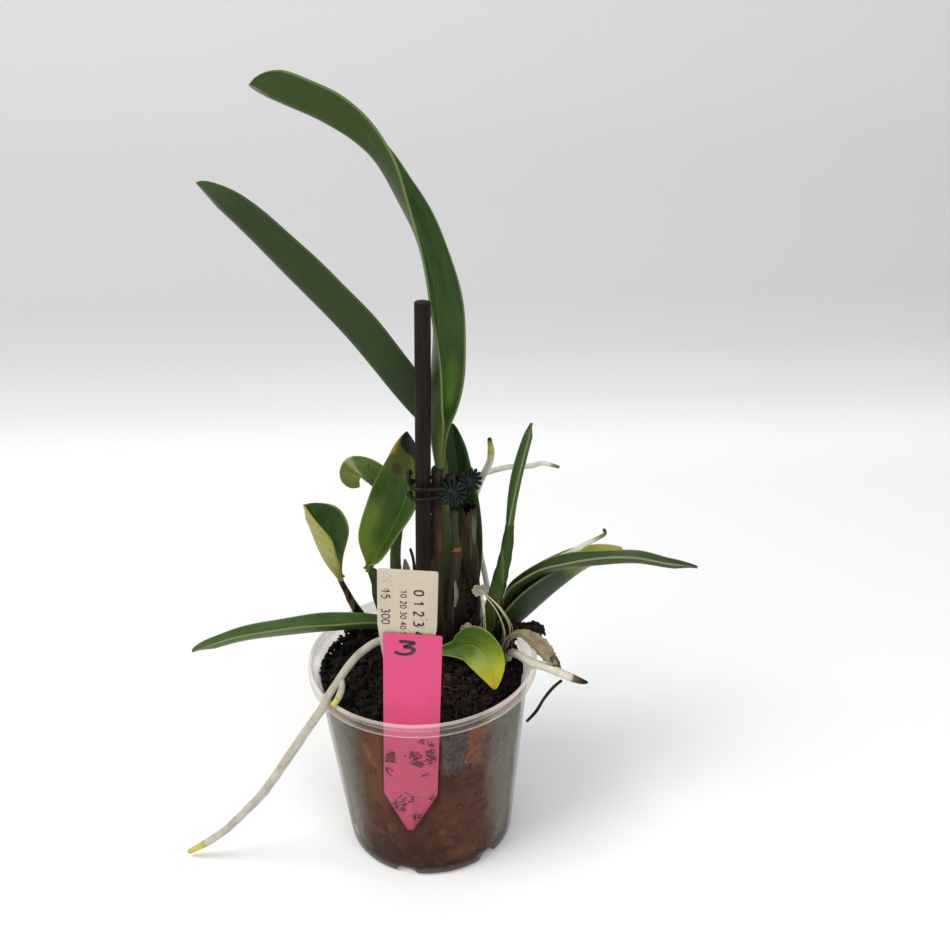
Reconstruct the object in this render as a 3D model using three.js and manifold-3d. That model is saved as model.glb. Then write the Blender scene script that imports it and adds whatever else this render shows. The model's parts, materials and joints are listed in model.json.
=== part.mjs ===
// A young cattleya orchid in a clear 88 mm grow pot, tied to a cane and tagged with two labels.
// Millimetres, +Z up, the centre of the pot's underside at the origin, the front towards -Y.
import * as THREE from 'three';
import { mergeVertices } from 'three/addons/utils/BufferGeometryUtils.js';
import Module from 'manifold-3d';

const wasm = await Module();
wasm.setup();

const orchid = new THREE.Group();
const TURN = Math.PI * 2;

// Clearance between pieces that lie against each other, and the wider one of a hole in the mix.
const GAP = 0.3;
const HOLE_GAP = 0.4;

// ---------------------------------------------------------------- materials

function plain(color, roughness, metalness = 0) {
  return new THREE.MeshStandardMaterial({ color, roughness, metalness });
}

const potPlastic = plain(0xcfd0cc, 0.3);
const barkMix = plain(0x2c1f18, 1.0);
const leafGreen = plain(0x35552a, 0.45);
const leafYellow = plain(0xa9b43a, 0.5);
const stemGreen = plain(0x4a6136, 0.55);
const stemBrown = plain(0x4a3324, 0.8);
const rootWhite = plain(0xd9dbd2, 0.85);
const cane = plain(0x3b241c, 0.6);
const tagWhite = plain(0xe8e2d6, 0.45);
const tagPink = plain(0xd8538c, 0.45);
const clipGreen = plain(0x22352f, 0.35);
const dryTan = plain(0xb7946c, 0.8);
const dryDark = plain(0x2b1f1a, 0.85);

// ---------------------------------------------------------------- shared builders

function addMesh(name, geometry, material) {
  const mesh = new THREE.Mesh(geometry, material.clone());
  mesh.name = name;
  orchid.add(mesh);
  return mesh;
}

// A smooth curve through rows of numbers: returns the row at t = 0..1.
function curveThrough(rows) {
  const width = rows[0].length;
  const parts = [];
  for (let first = 0; first < width; first += 3) {
    const points = rows.map((row) => (
      new THREE.Vector3(row[first], row[first + 1] ?? 0, row[first + 2] ?? 0)
    ));
    parts.push(new THREE.CatmullRomCurve3(points, false, 'catmullrom', 0.5));
  }
  return (t) => parts.flatMap((part) => part.getPoint(t).toArray()).slice(0, width);
}

// Rings of points, each counter-clockwise about the way forward, make one closed solid.
function loft(rings) {
  const count = rings[0].length;
  const positions = rings.flat().flatMap((point) => point.toArray());
  const index = [];
  for (let ring = 0; ring + 1 < rings.length; ring += 1) {
    for (let side = 0; side < count; side += 1) {
      const next = (side + 1) % count;
      const here = ring * count;
      const ahead = here + count;
      index.push(here + side, here + next, ahead + next);
      index.push(here + side, ahead + next, ahead + side);
    }
  }
  const last = (rings.length - 1) * count;
  for (let side = 0; side + 1 < count / 2; side += 1) {
    const facing = count - 1 - side;
    const quad = [side, side + 1, facing - 1, facing];
    index.push(quad[0], quad[2], quad[1], quad[0], quad[3], quad[2]);
    index.push(last + quad[0], last + quad[1], last + quad[2]);
    index.push(last + quad[0], last + quad[2], last + quad[3]);
  }
  const geometry = new THREE.BufferGeometry();
  geometry.setAttribute('position', new THREE.Float32BufferAttribute(positions, 3));
  geometry.setIndex(index);
  return geometry;
}

// A stem's end bulges by this share of its radius, and narrows to that share of it.
const END_BULGE = 0.35;
const END_SHARE = 0.6;

// A stem or root along rows of x, y, z, radius. Its ends are slightly rounded.
function stem(rows, { sides = 8, steps = 10, grow = 0 } = {}) {
  const at = curveThrough(rows);
  const samples = [];
  for (let step = 0; step <= steps; step += 1) {
    samples.push(at(step / steps));
  }
  const points = samples.map((row) => new THREE.Vector3(row[0], row[1], row[2]));
  const radii = samples.map((row) => row[3] + grow);
  const forward = points.map((point, i) => {
    const ahead = points[Math.min(i + 1, steps)];
    const behind = points[Math.max(i - 1, 0)];
    return ahead.clone().sub(behind).normalize();
  });
  let across = new THREE.Vector3(0, 1, 0).cross(forward[0]);
  if (across.length() < 0.3) across = new THREE.Vector3(1, 0, 0).cross(forward[0]);
  const ringAt = (i, shift, share) => {
    across = across.clone().addScaledVector(forward[i], -across.dot(forward[i])).normalize();
    const up = forward[i].clone().cross(across);
    const centre = points[i].clone().addScaledVector(forward[i], shift);
    const ring = [];
    for (let side = 0; side < sides; side += 1) {
      const angle = (side / sides) * TURN;
      const reach = radii[i] * share;
      ring.push(centre.clone()
        .addScaledVector(across, reach * Math.cos(angle))
        .addScaledVector(up, reach * Math.sin(angle)));
    }
    return ring;
  };
  const rings = [ringAt(0, -radii[0] * END_BULGE, END_SHARE)];
  for (let i = 0; i <= steps; i += 1) {
    rings.push(ringAt(i, 0, 1));
  }
  rings.push(ringAt(steps, radii[steps] * END_BULGE, END_SHARE));
  return loft(rings);
}

// How sharply a leaf's halves rise from its keel: 1 is a straight V, more is a rounder channel.
const FOLD_CURVE = 1.15;
const LEAF_SHARES = [-1, -0.5, 0, 0.5, 1];
const NARROWEST_HALF = 0.4;

// A leaf along rows of x, y, z, half width, fold in degrees, and the way its upper face looks.
// Its cross-section is a V that opens to that way, thick at the keel and thin at the margins.
function blade(rows, { steps = 14, tip = 8, keel = 1.5, margin = 0.7 } = {}) {
  const at = curveThrough(rows);
  const samples = [];
  for (let step = 0; step <= steps; step += 1) {
    samples.push(at(step / steps));
  }
  const points = samples.map((row) => new THREE.Vector3(row[0], row[1], row[2]));
  const lengths = [0];
  for (let i = 1; i <= steps; i += 1) {
    lengths.push(lengths[i - 1] + points[i].distanceTo(points[i - 1]));
  }
  const rings = points.map((point, i) => {
    const ahead = points[Math.min(i + 1, steps)];
    const forward = ahead.clone().sub(points[Math.max(i - 1, 0)]).normalize();
    const facing = new THREE.Vector3(samples[i][5], samples[i][6], samples[i][7]);
    facing.addScaledVector(forward, -facing.dot(forward)).normalize();
    const across = forward.clone().cross(facing);
    const left = (lengths[steps] - lengths[i]) / tip;
    const rounding = left < 1 ? Math.sqrt(1 - (1 - left) ** 2) : 1;
    const half = Math.max(samples[i][3] * rounding, NARROWEST_HALF);
    const fold = THREE.MathUtils.degToRad(samples[i][4]);
    const wide = half * Math.cos(fold);
    const tall = half * Math.sin(fold);
    const upper = [];
    const lower = [];
    for (const share of LEAF_SHARES) {
      const out = Math.abs(share);
      const sideways = wide * share;
      const height = tall * out ** FOLD_CURVE;
      const slope = tall * FOLD_CURVE * out ** (FOLD_CURVE - 1) * Math.sign(share);
      const run = Math.hypot(wide, slope);
      const thick = margin + (keel - margin) * (1 - share * share);
      const downSideways = (slope / run) * thick;
      const downHeight = (-wide / run) * thick;
      upper.push(point.clone().addScaledVector(across, sideways).addScaledVector(facing, height));
      lower.unshift(point.clone()
        .addScaledVector(across, sideways + downSideways)
        .addScaledVector(facing, height + downHeight));
    }
    return [...upper, ...lower];
  });
  return loft(rings);
}

// three.js geometry to a manifold solid and back.
function solid(geometry) {
  const bare = geometry.clone();
  bare.deleteAttribute('normal');
  bare.deleteAttribute('uv');
  const merged = mergeVertices(bare, 1e-4);
  return new wasm.Manifold(new wasm.Mesh({
    numProp: 3,
    vertProperties: new Float32Array(merged.attributes.position.array),
    triVerts: new Uint32Array(merged.index.array),
  }));
}

function fromSolid(body) {
  const mesh = body.getMesh();
  const geometry = new THREE.BufferGeometry();
  geometry.setAttribute('position', new THREE.Float32BufferAttribute(mesh.vertProperties, 3));
  geometry.setIndex(Array.from(mesh.triVerts));
  return geometry;
}

function joined(geometries) {
  return fromSolid(geometries.map(solid).reduce((sum, next) => sum.add(next)));
}

function cut(geometry, cutters) {
  return fromSolid(cutters.map(solid).reduce((rest, next) => rest.subtract(next), solid(geometry)));
}

// ---------------------------------------------------------------- pot

const POT_HEIGHT = 82.7;
const RIM_RADIUS = 44.1;
const BASE_RADIUS = 33;
const WALL = 1.2;
const FLOOR = 1.6;
const LIP_HEIGHT = 5.7;
const LIP_THICK = 2.0;
const SHOULDER_RADIUS = 40.8;
const FOOT_EASE = 1.2;
const POT_SIDES = 56;
const NOTCH_COUNT = 6;
const NOTCH_WIDTH = 9;
const NOTCH_DEPTH = 8;
const NOTCH_RISE = 4.4;
const NOTCH_DROP = 2.6;
const NOTCH_FIRST = THREE.MathUtils.degToRad(-46.5);

const shoulderHeight = POT_HEIGHT - LIP_HEIGHT;
const wallSlope = (SHOULDER_RADIUS - BASE_RADIUS) / shoulderHeight;

function innerRadius(z) {
  return BASE_RADIUS + wallSlope * z - WALL;
}

function potBody() {
  const profile = [
    [0, 0],
    [BASE_RADIUS - FOOT_EASE, 0],
    [BASE_RADIUS, FOOT_EASE],
    [SHOULDER_RADIUS, shoulderHeight - 0.6],
    [RIM_RADIUS - 0.7, shoulderHeight],
    [RIM_RADIUS - 0.1, shoulderHeight + 0.9],
    [RIM_RADIUS, POT_HEIGHT - 0.9],
    [RIM_RADIUS - 0.5, POT_HEIGHT],
    [RIM_RADIUS - 1.3, POT_HEIGHT],
    [RIM_RADIUS - 1.7, POT_HEIGHT - 0.7],
    [RIM_RADIUS - LIP_THICK, shoulderHeight + 1.6],
    [SHOULDER_RADIUS - WALL, shoulderHeight + 0.2],
    [innerRadius(FLOOR), FLOOR],
    [0, FLOOR],
  ];
  const outline = profile.map(([x, y]) => new THREE.Vector2(x, y));
  return new THREE.LatheGeometry(outline, POT_SIDES).rotateX(Math.PI / 2);
}

// Drain notches where the wall meets the floor.
function drainNotches() {
  const notches = [];
  for (let i = 0; i < NOTCH_COUNT; i += 1) {
    const notch = new THREE.BoxGeometry(NOTCH_DEPTH, NOTCH_WIDTH, NOTCH_RISE + NOTCH_DROP);
    notch.translate(BASE_RADIUS + 0.5, 0, (NOTCH_RISE - NOTCH_DROP) / 2);
    notch.rotateZ(NOTCH_FIRST + (i / NOTCH_COUNT) * TURN);
    notches.push(notch);
  }
  return notches;
}

addMesh('pot', cut(potBody(), drainNotches()), potPlastic);

// ---------------------------------------------------------------- cane

const CANE_RADIUS = 2.8;
const caneRoute = [
  [-2.2, 0, 24, CANE_RADIUS],
  [6.5, 0, 225, CANE_RADIUS],
];
const caneLook = { sides: 12, steps: 4 };
addMesh('cane', stem(caneRoute, caneLook), cane);

// ---------------------------------------------------------------- labels

const TAG_WIDTH = 20.4;
const TAG_THICK = 0.8;
const TAG_CORNER = 0.8;
const TAG_TIP = 1.2;

// A plastic plant tag, upright, its tip on the axis at z = 0 and its outer face at y = 0.
function tag(length, point, grow = 0) {
  const half = TAG_WIDTH / 2 + grow;
  const top = length + grow;
  const outline = new THREE.Shape();
  outline.moveTo(-TAG_TIP - grow, -grow);
  outline.lineTo(TAG_TIP + grow, -grow);
  outline.lineTo(half, point);
  outline.lineTo(half, top - TAG_CORNER);
  outline.lineTo(half - TAG_CORNER, top);
  outline.lineTo(TAG_CORNER - half, top);
  outline.lineTo(-half, top - TAG_CORNER);
  outline.lineTo(-half, point);
  const depth = TAG_THICK + 2 * grow;
  const plate = new THREE.ExtrudeGeometry(outline, { depth, bevelEnabled: false });
  return plate.rotateX(Math.PI / 2).translate(0, TAG_THICK + grow, 0);
}

// Both tags lean out with the wall and a little to the right, and face nearly straight forward.
const TAG_LEAN = Math.atan(wallSlope) + THREE.MathUtils.degToRad(0.3);
const TAG_TILT = THREE.MathUtils.degToRad(4);
const TAG_YAW = THREE.MathUtils.degToRad(-3.9);

function placeTag(plate, x, y, z) {
  return plate.rotateY(TAG_TILT).rotateX(TAG_LEAN).rotateZ(TAG_YAW).translate(x, y, z);
}

// Each tag's length, the length of its pointed end, and where its tip stands.
const PINK_TAG = { length: 99.2, point: 20.3, at: [-6.9, -30.4, 21.6] };
const WHITE_TAG = { length: 98, point: 74, at: [-7.1, -32.2, 49.7] };

function pinkTag(grow = 0) {
  return placeTag(tag(PINK_TAG.length, PINK_TAG.point, grow), ...PINK_TAG.at);
}

function whiteTag(grow = 0) {
  return placeTag(tag(WHITE_TAG.length, WHITE_TAG.point, grow), ...WHITE_TAG.at);
}

addMesh('label_pink', pinkTag(), tagPink);
addMesh('label_white', whiteTag(), tagWhite);

// ---------------------------------------------------------------- stems, pseudobulbs and roots

// Rows of x, y, z, radius.
const stems = {
  rhizome: [
    [-18.5, 19.6, 77.5, 2.4], [-12, 18.6, 79, 3.2], [-1, 13.5, 80, 3.4], [10, 12, 80.5, 3.4],
    [19, 14, 80.5, 3.4], [26, 8, 80, 3.2], [32, 6.5, 78.6, 2.2],
  ],
  bulb_tall: [
    [5.8, 5.4, 79, 2.6], [6.5, 6, 107.5, 2.6], [7.5, 4, 131, 2.5], [8.3, 3, 152.5, 2.2],
    [8.8, 3.8, 162, 2.1],
  ],
  bulb_long: [
    [9, 15.5, 84.8, 2.8], [10, 15, 108.5, 2.8], [10, 15, 128.5, 2.5], [10, 15, 150, 2.3],
    [9.4, 15, 167, 2.1],
  ],
  bulb_behind: [[17.3, 21.6, 70, 3], [17.5, 21.8, 79, 3], [18.3, 22, 88, 2.4]],
  bulb_front: [[5.8, -1.6, 72, 1.8], [5.4, -2.3, 80, 1.7], [4.4, -2.8, 85, 1]],
  bulb_blotched: [
    [-13, 18.5, 83.5, 2.9], [-16, 18, 96, 2.9], [-17.5, 18.8, 104.5, 2.4], [-19.2, 19, 110, 1.7],
  ],
  bulb_grey: [[-9.5, 23.6, 70, 2.5], [-10, 24, 105, 2.2], [-9.5, 25, 116.5, 2], [-7.2, 26, 128, 1.8]],
  stem_dried: [
    [-23, 26.4, 69, 2.2], [-24.4, 22.6, 83, 2.1], [-27.5, 18, 95, 1.6], [-29.5, 16, 102.5, 1.2],
    [-31.3, 14.2, 109.5, 1],
  ],
  stem_sheathed: [
    [11.2, 6.5, 78, 2], [11.2, 6.8, 102, 2.1], [13, 6, 115.5, 2.2], [14.5, 6, 124.5, 1.7],
    [14, 6, 133, 1.6], [14, 6, 142, 1.7],
  ],
  bulb_cut: [[19, 13, 85.7, 3.9], [19, 13, 109.5, 3.8], [18.5, 13, 125, 3.4], [19, 13, 138, 3.2]],
  bulb_upright: [
    [24.8, 6, 84.4, 2.5], [26.9, 4.8, 98, 2.8], [30.1, 3.6, 112, 2.7], [32.7, 4, 123, 2.4],
    [33.9, 4, 131, 2], [34.6, 4.1, 137.4, 1.6],
  ],
  bulb_lower_right: [[31.7, 6.6, 82.5, 1.6], [31, 6.3, 83.9, 1.6]],
  root_left: [
    [-4.5, 10.2, 77, 1.4], [-7, 6.4, 84.5, 1.5], [-16, -2, 90.5, 1.5], [-22.5, -9, 90.5, 1.5],
    [-26.5, -15, 89.5, 1.5], [-30.5, -22, 87, 1.5], [-33.5, -27.2, 84.9, 1.5],
    [-36, -30.8, 81.5, 1.6], [-41.5, -33, 74.5, 1.6],
    [-48.5, -32, 63, 1.7], [-62, -28, 40.5, 1.7], [-70, -26, 30, 1.6], [-79.5, -23, 18, 1.5],
    [-88.5, -21, 9.5, 1.5], [-97.3, -19, 2.6, 1],
  ],
  root_right: [
    [32.5, 1, 77, 1.5], [33.5, -0.5, 82, 1.6], [36.5, -4.5, 84, 1.6], [41.5, -11, 84.9, 1.7],
    [48, -13, 83.5, 1.6], [54.5, -14, 80.5, 1.6], [59.5, -14, 78, 1.2], [62.5, -14, 77, 0.5],
  ],
  root_up: [
    [22.2, 21, 70, 1.2], [22.4, 24.4, 88, 1.2], [19.5, 28.6, 106.5, 1.2], [19, 30, 124, 1.2],
    [22.5, 30, 136.5, 1.3], [25.5, 29, 144.5, 1.3], [28, 28, 150.5, 1.3], [28.5, 27, 156, 1.3],
    [28, 26, 161.5, 0.8],
  ],
  root_back: [
    [26.4, 19, 70, 1.2], [27, 24, 86, 1.2], [23.5, 31.5, 108, 1.1], [21.2, 34.6, 128, 1.1],
    [23.5, 35.5, 139.5, 1.1], [28, 36, 142, 1.1], [35, 37, 143.2, 1.1], [44, 38, 143, 1],
    [49, 39, 143.5, 0.9], [55.5, 40, 141, 0.6],
  ],
  root_channel: [
    [36.2, 10.1, 102.3, 0.9], [39.5, 11.3, 105.8, 1.1], [45.5, 10.8, 111, 1.1],
    [51.4, 9.2, 117, 1.2], [57.3, 8, 120.9, 1.3], [62.2, 9, 123.6, 1], [67, 10, 125.6, 0.8],
    [70.5, 11, 127.2, 0.7], [70, 12, 128.9, 0.6],
  ],
  root_broken: [
    [52.6, -14.6, 79, 0.6], [49.5, -17, 78, 0.6], [45.5, -20, 74.8, 0.6], [42.5, -23, 71.6, 0.6],
    [38.5, -27.5, 70.2, 0.5],
  ],
  spike_remnant: [[-1.5, 6.8, 77, 0.7], [-1.5, 6, 100, 0.7], [-1.7, 5, 120, 0.6], [-2.7, 5, 127, 0.5]],
  dry_curl: [
    [34.8, 3.9, 73, 0.9], [34.4, 3.4, 84, 0.9], [35, 2.4, 89.3, 1.2], [37.5, 1.6, 91, 1.2],
    [40.5, 1, 91.5, 1.1], [44, 0, 91.5, 1], [45.5, -1, 89.5, 0.8],
  ],
};

const stemLooks = {
  rhizome: { material: stemBrown, steps: 14, sides: 10 },
  bulb_tall: { material: stemBrown, steps: 10, sides: 10 },
  bulb_long: { material: stemGreen, steps: 10 },
  bulb_behind: { material: stemGreen, steps: 4 },
  bulb_front: { material: stemGreen, steps: 5 },
  bulb_blotched: { material: stemGreen, steps: 7 },
  bulb_grey: { material: stemGreen, steps: 8 },
  stem_dried: { material: dryDark, steps: 7 },
  stem_sheathed: { material: stemBrown, steps: 14 },
  bulb_cut: { material: stemBrown, steps: 8, sides: 10 },
  bulb_upright: { material: stemGreen, steps: 10, sides: 10 },
  bulb_lower_right: { material: stemGreen, steps: 2 },
  root_left: { material: rootWhite, steps: 36 },
  root_right: { material: rootWhite, steps: 18 },
  root_up: { material: rootWhite, steps: 20, sides: 6 },
  root_back: { material: rootWhite, steps: 22, sides: 6 },
  root_channel: { material: rootWhite, steps: 18, sides: 6 },
  root_broken: { material: dryDark, steps: 10, sides: 6 },
  spike_remnant: { material: dryDark, steps: 6, sides: 6 },
  dry_curl: { material: dryDark, steps: 10, sides: 6 },
};

// A short side root leaves the long left root and hangs over the rim beside it.
const sideRoot = [
  [-29.5, -20.5, 87.2, 1.1], [-28.9, -25, 86, 1.2], [-30.2, -29.4, 84.8, 1.2], [-32.2, -32.4, 83.6, 0.9],
];

function stemGeometry(name, grow = 0) {
  const { steps, sides } = stemLooks[name];
  const body = stem(stems[name], { steps, sides, grow });
  if (name !== 'root_left' || grow > 0) return body;
  return joined([body, stem(sideRoot, { steps: 6, sides: 6 })]);
}

for (const name of Object.keys(stems)) {
  addMesh(name, stemGeometry(name), stemLooks[name].material);
}

// ---------------------------------------------------------------- leaves

// Rows of x, y, z, half width, fold in degrees, and the way the upper face looks.
const leaves = {
  leaf_tall: [
    [9, 4, 163.7, 2.2, 78, 0.9, -0.4, 0.1], [8, 5, 172.5, 4.5, 76, 0.9, -0.4, 0.1],
    [7.5, 7, 183, 9, 66, 0.8, -0.6, 0], [9.5, 10, 198, 10.2, 50, 0.8, -0.6, 0],
    [11, 11.5, 217.8, 9.7, 31, 0.8, -0.6, 0], [7.5, 11, 240.5, 8.7, 23, 0.9, -0.4, 0.2],
    [1, 9, 257, 8.5, 28, 0.9, -0.2, 0.4], [-7, 6, 273, 8.8, 32, 0.8, 0.2, 0.6],
    [-19.5, 0, 285, 8.8, 32, 0.2, 0.7, 0.7], [-30.5, -5, 292, 8.4, 30, 0.1, 0.7, 0.7],
    [-41, -10, 298.5, 7.2, 25, 0.1, 0.7, 0.7],
  ],
  leaf_long: [
    [9, 15, 169, 2.4, 78, 0.6, -0.5, 0.6], [4.5, 15, 174, 7.5, 60, 0.7, 0.3, 0.6],
    [-5, 14, 187, 10.8, 45, 0.6, 0.6, 0.5], [-20, 11, 210.5, 11, 38, 0.5, 0.7, 0.5],
    [-36.5, 6, 233.5, 10.2, 34, 0.4, 0.8, 0.5], [-50.5, 0, 253.5, 8, 30, 0.4, 0.8, 0.5],
    [-61.5, -6, 268.5, 5, 26, 0.3, 0.8, 0.6],
  ],
  leaf_behind: [
    [18.4, 22, 89.7, 2.5, 60, 0, -1, 0.1], [18, 23, 101, 5, 35, 0, -1, 0.1],
    [17.5, 24, 116.5, 7, 25, 0, -1, 0], [17, 24, 134, 6.8, 22, 0, -1, 0],
    [15.5, 23, 153.5, 4.8, 22, 0.1, -1, -0.1], [14.5, 21, 170, 2.6, 20, 0.1, -1, -0.1],
  ],
  leaf_blotched: [
    [-19.5, 19, 111.6, 1.8, 60, -0.7, -0.6, 0.4], [-15.2, 19, 118.5, 9.6, 40, -0.8, -0.6, 0.3],
    [-8, 18, 132, 12.9, 36, -0.8, -0.6, 0.3], [-3, 17, 145, 12.7, 34, -0.7, -0.7, 0.1],
    [-1, 15, 158.5, 8.8, 30, -0.6, -0.8, -0.2], [-2, 12, 171.5, 3, 20, -0.3, -0.9, -0.2],
  ],
  leaf_grey: [
    [-7, 26, 129.6, 1.8, 60, 0.2, -0.8, 0.5], [-9.3, 27, 135.4, 3.6, 40, 0.2, -0.8, 0.5],
    [-13.2, 28, 142.8, 4.3, 24, 0.3, -0.8, 0.6], [-17.5, 27, 147.8, 4.8, 14, 0.4, -0.6, 0.7],
    [-21.8, 24, 151, 5.4, 8, 0.4, -0.4, 0.8], [-23.8, 21, 150.2, 4.6, 6, 0, -0.6, 0.6],
    [-23.3, 19.6, 147.8, 3.2, 6, -0.2, -0.7, 0.4], [-21.3, 19, 146, 1.6, 6, -0.3, -0.7, 0.3],
  ],
  leaf_yellow_back: [
    [-31.5, 14, 110.9, 1.6, 60, 0.9, -0.2, 0.4], [-35, 13, 118, 7.5, 58, 0.9, -0.2, 0.3],
    [-37.5, 12, 126.5, 11.8, 56, 0.9, -0.3, 0.2], [-39, 10, 135, 12, 56, 1, -0.3, 0.1],
    [-40, 8, 141, 9.5, 54, 1, -0.3, 0], [-40.5, 6, 146, 6.5, 48, 0.9, -0.3, 0],
  ],
  leaf_low_left: [
    [-9.5, 12.2, 85.5, 2.5, 55, 0.3, 0.1, 0.9], [-19.5, 10, 89.5, 5, 40, 0.2, 0.2, 1],
    [-35.5, 6, 92, 6.4, 35, 0.1, 0.2, 1], [-51, 2, 93.5, 6.2, 33, 0, 0.2, 1],
    [-66.5, -3, 95, 5, 32, 0, 0.2, 1], [-78, -7, 94.5, 3.6, 32, -0.1, 0.2, 1],
    [-85.5, -10, 94, 2.6, 30, -0.1, 0.2, 1],
  ],
  leaf_upright: [
    [34.8, 4.2, 138.3, 1.5, 60, -0.6, 0.8, 0], [35.9, 4.5, 145.5, 1.9, 58, -0.7, 0.7, 0],
    [37.7, 5, 154.5, 2.2, 56, -0.7, 0.7, 0.1], [40, 6.5, 163.5, 2.2, 56, -0.7, 0.7, 0.2],
    [42, 8.4, 170.5, 1.6, 54, -0.7, 0.7, 0.2], [43, 9.6, 174.8, 1, 50, -0.7, 0.7, 0.2],
  ],
  leaf_lower_right: [
    [30.1, 6, 85.8, 2.8, 70, -0.7, 0.1, 0.7], [35, 6, 90.5, 8.2, 60, -0.7, 0.1, 0.7],
    [44.5, 7, 99.5, 12.2, 54, -0.7, 0.1, 0.7], [52.5, 9, 106, 11.8, 50, -0.6, 0.1, 0.8],
    [62, 12, 112, 9, 46, -0.5, 0.1, 0.9], [71, 15, 115, 5.2, 36, -0.3, 0, 1],
    [78, 17, 117, 2.4, 30, -0.2, -0.1, 1],
  ],
  leaf_arching: [
    [32.3, 7.6, 94, 1, 66, -1, 0.1, 0.1], [32.7, 8, 96.8, 2, 58, -1, 0.1, 0.2],
    [34.7, 8, 103.2, 3, 50, -0.9, 0.1, 0.4], [38.3, 7, 108.2, 3.6, 42, -0.6, 0.2, 0.8],
    [46.5, 4.8, 115.3, 4, 36, -0.5, 0.2, 0.8], [54.7, -0.4, 120.8, 4.8, 36, -0.4, 0.2, 0.9],
    [66, -6, 125.5, 4.6, 40, -0.2, 0.2, 1], [79, -10, 128.5, 3.6, 38, -0.1, 0.1, 1],
    [90.5, -13, 128, 2.4, 34, 0.1, 0.1, 1], [100.8, -15, 127.5, 1.4, 30, 0.1, 0.1, 1],
  ],
  leaf_front: [
    [5.6, -2.8, 85.6, 1.2, 30, -0.3, -0.8, 0.5], [12.5, -4, 87.5, 2.8, 22, -0.4, -0.8, 0.4],
    [16.1, -5.2, 89.8, 5, 16, -0.4, -0.8, 0.4], [19.9, -7.5, 91.2, 7.3, 12, -0.3, -0.8, 0.5],
    [23.8, -11, 89.1, 7, 10, -0.2, -0.8, 0.5], [25.7, -15, 86.5, 5.8, 10, -0.1, -0.8, 0.6],
    [26.5, -18, 84.1, 4.3, 10, -0.1, -0.8, 0.6], [27.2, -20.6, 80.2, 2.6, 8, -0.1, -0.8, 0.6],
  ],
};

const leafLooks = {
  leaf_tall: { material: leafGreen, steps: 24, tip: 8 },
  leaf_long: { material: leafGreen, steps: 16, tip: 12 },
  leaf_behind: { material: leafGreen, steps: 12, tip: 12 },
  leaf_blotched: { material: leafGreen, steps: 14, tip: 8 },
  leaf_grey: { material: leafGreen, steps: 16, tip: 4 },
  leaf_yellow_back: { material: leafYellow, steps: 12, tip: 7 },
  leaf_low_left: { material: leafGreen, steps: 14, tip: 8 },
  leaf_upright: { material: leafGreen, steps: 10, tip: 5 },
  leaf_lower_right: { material: leafGreen, steps: 16, tip: 8 },
  leaf_arching: { material: leafGreen, steps: 18, tip: 8 },
  leaf_front: { material: leafYellow, steps: 12, tip: 8 },
};

for (const name of Object.keys(leaves)) {
  const { material, steps, tip } = leafLooks[name];
  addMesh(name, blade(leaves[name], { steps, tip }), material);
}

// ---------------------------------------------------------------- dry scraps

const papery = [
  [31.6, -5, 80.5, 1.2, 10, -0.5, -0.9, 0], [31.6, -4.8, 86.5, 1.6, 10, -0.7, -0.7, 0],
  [33.8, -4.6, 91, 1.9, 20, -0.8, -0.3, 0.6], [38, -5, 92.8, 2.4, 30, -0.1, -0.1, 1],
  [43, -8, 91.5, 3.2, 30, 0.4, -0.2, 0.9], [47.5, -11, 88, 2.6, 30, 0.6, -0.3, 0.8],
  [51, -12.6, 85, 1.8, 20, 0.6, -0.3, 0.7],
];
const paleScale = [
  [-6, 23.6, 96, 1.5, 30, 0.3, -1, 0], [-5.9, 23.8, 104, 1.4, 30, 0.3, -1, 0],
  [-6.3, 24.4, 110.5, 1, 20, 0.3, -1, 0],
];

const SCRAP_KEEL = 0.8;

addMesh('dry_sheath', blade(papery, { steps: 14, tip: 3, keel: SCRAP_KEEL }), dryTan);
addMesh('pale_scale', blade(paleScale, { steps: 4, tip: 4, keel: SCRAP_KEEL }), dryTan);

// Straw-like fibres spring from one knot and droop to the mix.
const FIBRE_RADIUS = 0.35;
const KNOT_RADIUS = 0.8;
const fibreKnot = new THREE.Vector3(22.6, 9.2, 105.5);
const fibreRoutes = [
  [[26.5, 1.2, 106.5], [30.2, -0.2, 102.6], [33.8, -0.8, 94.8], [33.2, -1.6, 86]],
  [[26, 1, 105.6], [29.2, -0.8, 101], [31.6, -1.4, 93], [31, -2, 85.5]],
  [[24.2, 4, 102], [24.4, 0.4, 95], [24.6, -1.4, 89], [24.8, -2.4, 84]],
];

function fibres() {
  const knot = new THREE.SphereGeometry(KNOT_RADIUS, 8, 6);
  const pieces = [knot.translate(fibreKnot.x, fibreKnot.y, fibreKnot.z)];
  for (const route of fibreRoutes) {
    const rows = [fibreKnot.toArray(), ...route].map((point) => [...point, FIBRE_RADIUS]);
    pieces.push(stem(rows, { steps: 12, sides: 5 }));
  }
  return joined(pieces);
}

addMesh('straw_fibres', fibres(), dryTan);

// ---------------------------------------------------------------- daisy clip

const CLIP_HEIGHT = 154.6;
const FINGER_RADIUS = 0.75;
const HINGE = new THREE.Vector2(13.6, 0.2);
const PIN_RADIUS = 0.8;
const SLEEVE_INNER = 1.1;
const SLEEVE_OUTER = 1.9;
const SLEEVE_HEIGHT = 5;
const DAISY_RADIUS = 5.2;
const DAISY_THICK = 1.2;
const DAISY_BOSS = 1.5;
const PETALS = 14;
const PETAL_NOTCH = 0.84;
const KNOB_RADIUS = 1.2;
const LUG_HEIGHT = 1.2;

// An upright cylinder on the hinge's axis.
function hingeRound(radius, height, sides = 12) {
  const round = new THREE.CylinderGeometry(radius, radius, height, sides).rotateX(Math.PI / 2);
  return round.translate(HINGE.x, HINGE.y, CLIP_HEIGHT);
}

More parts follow.
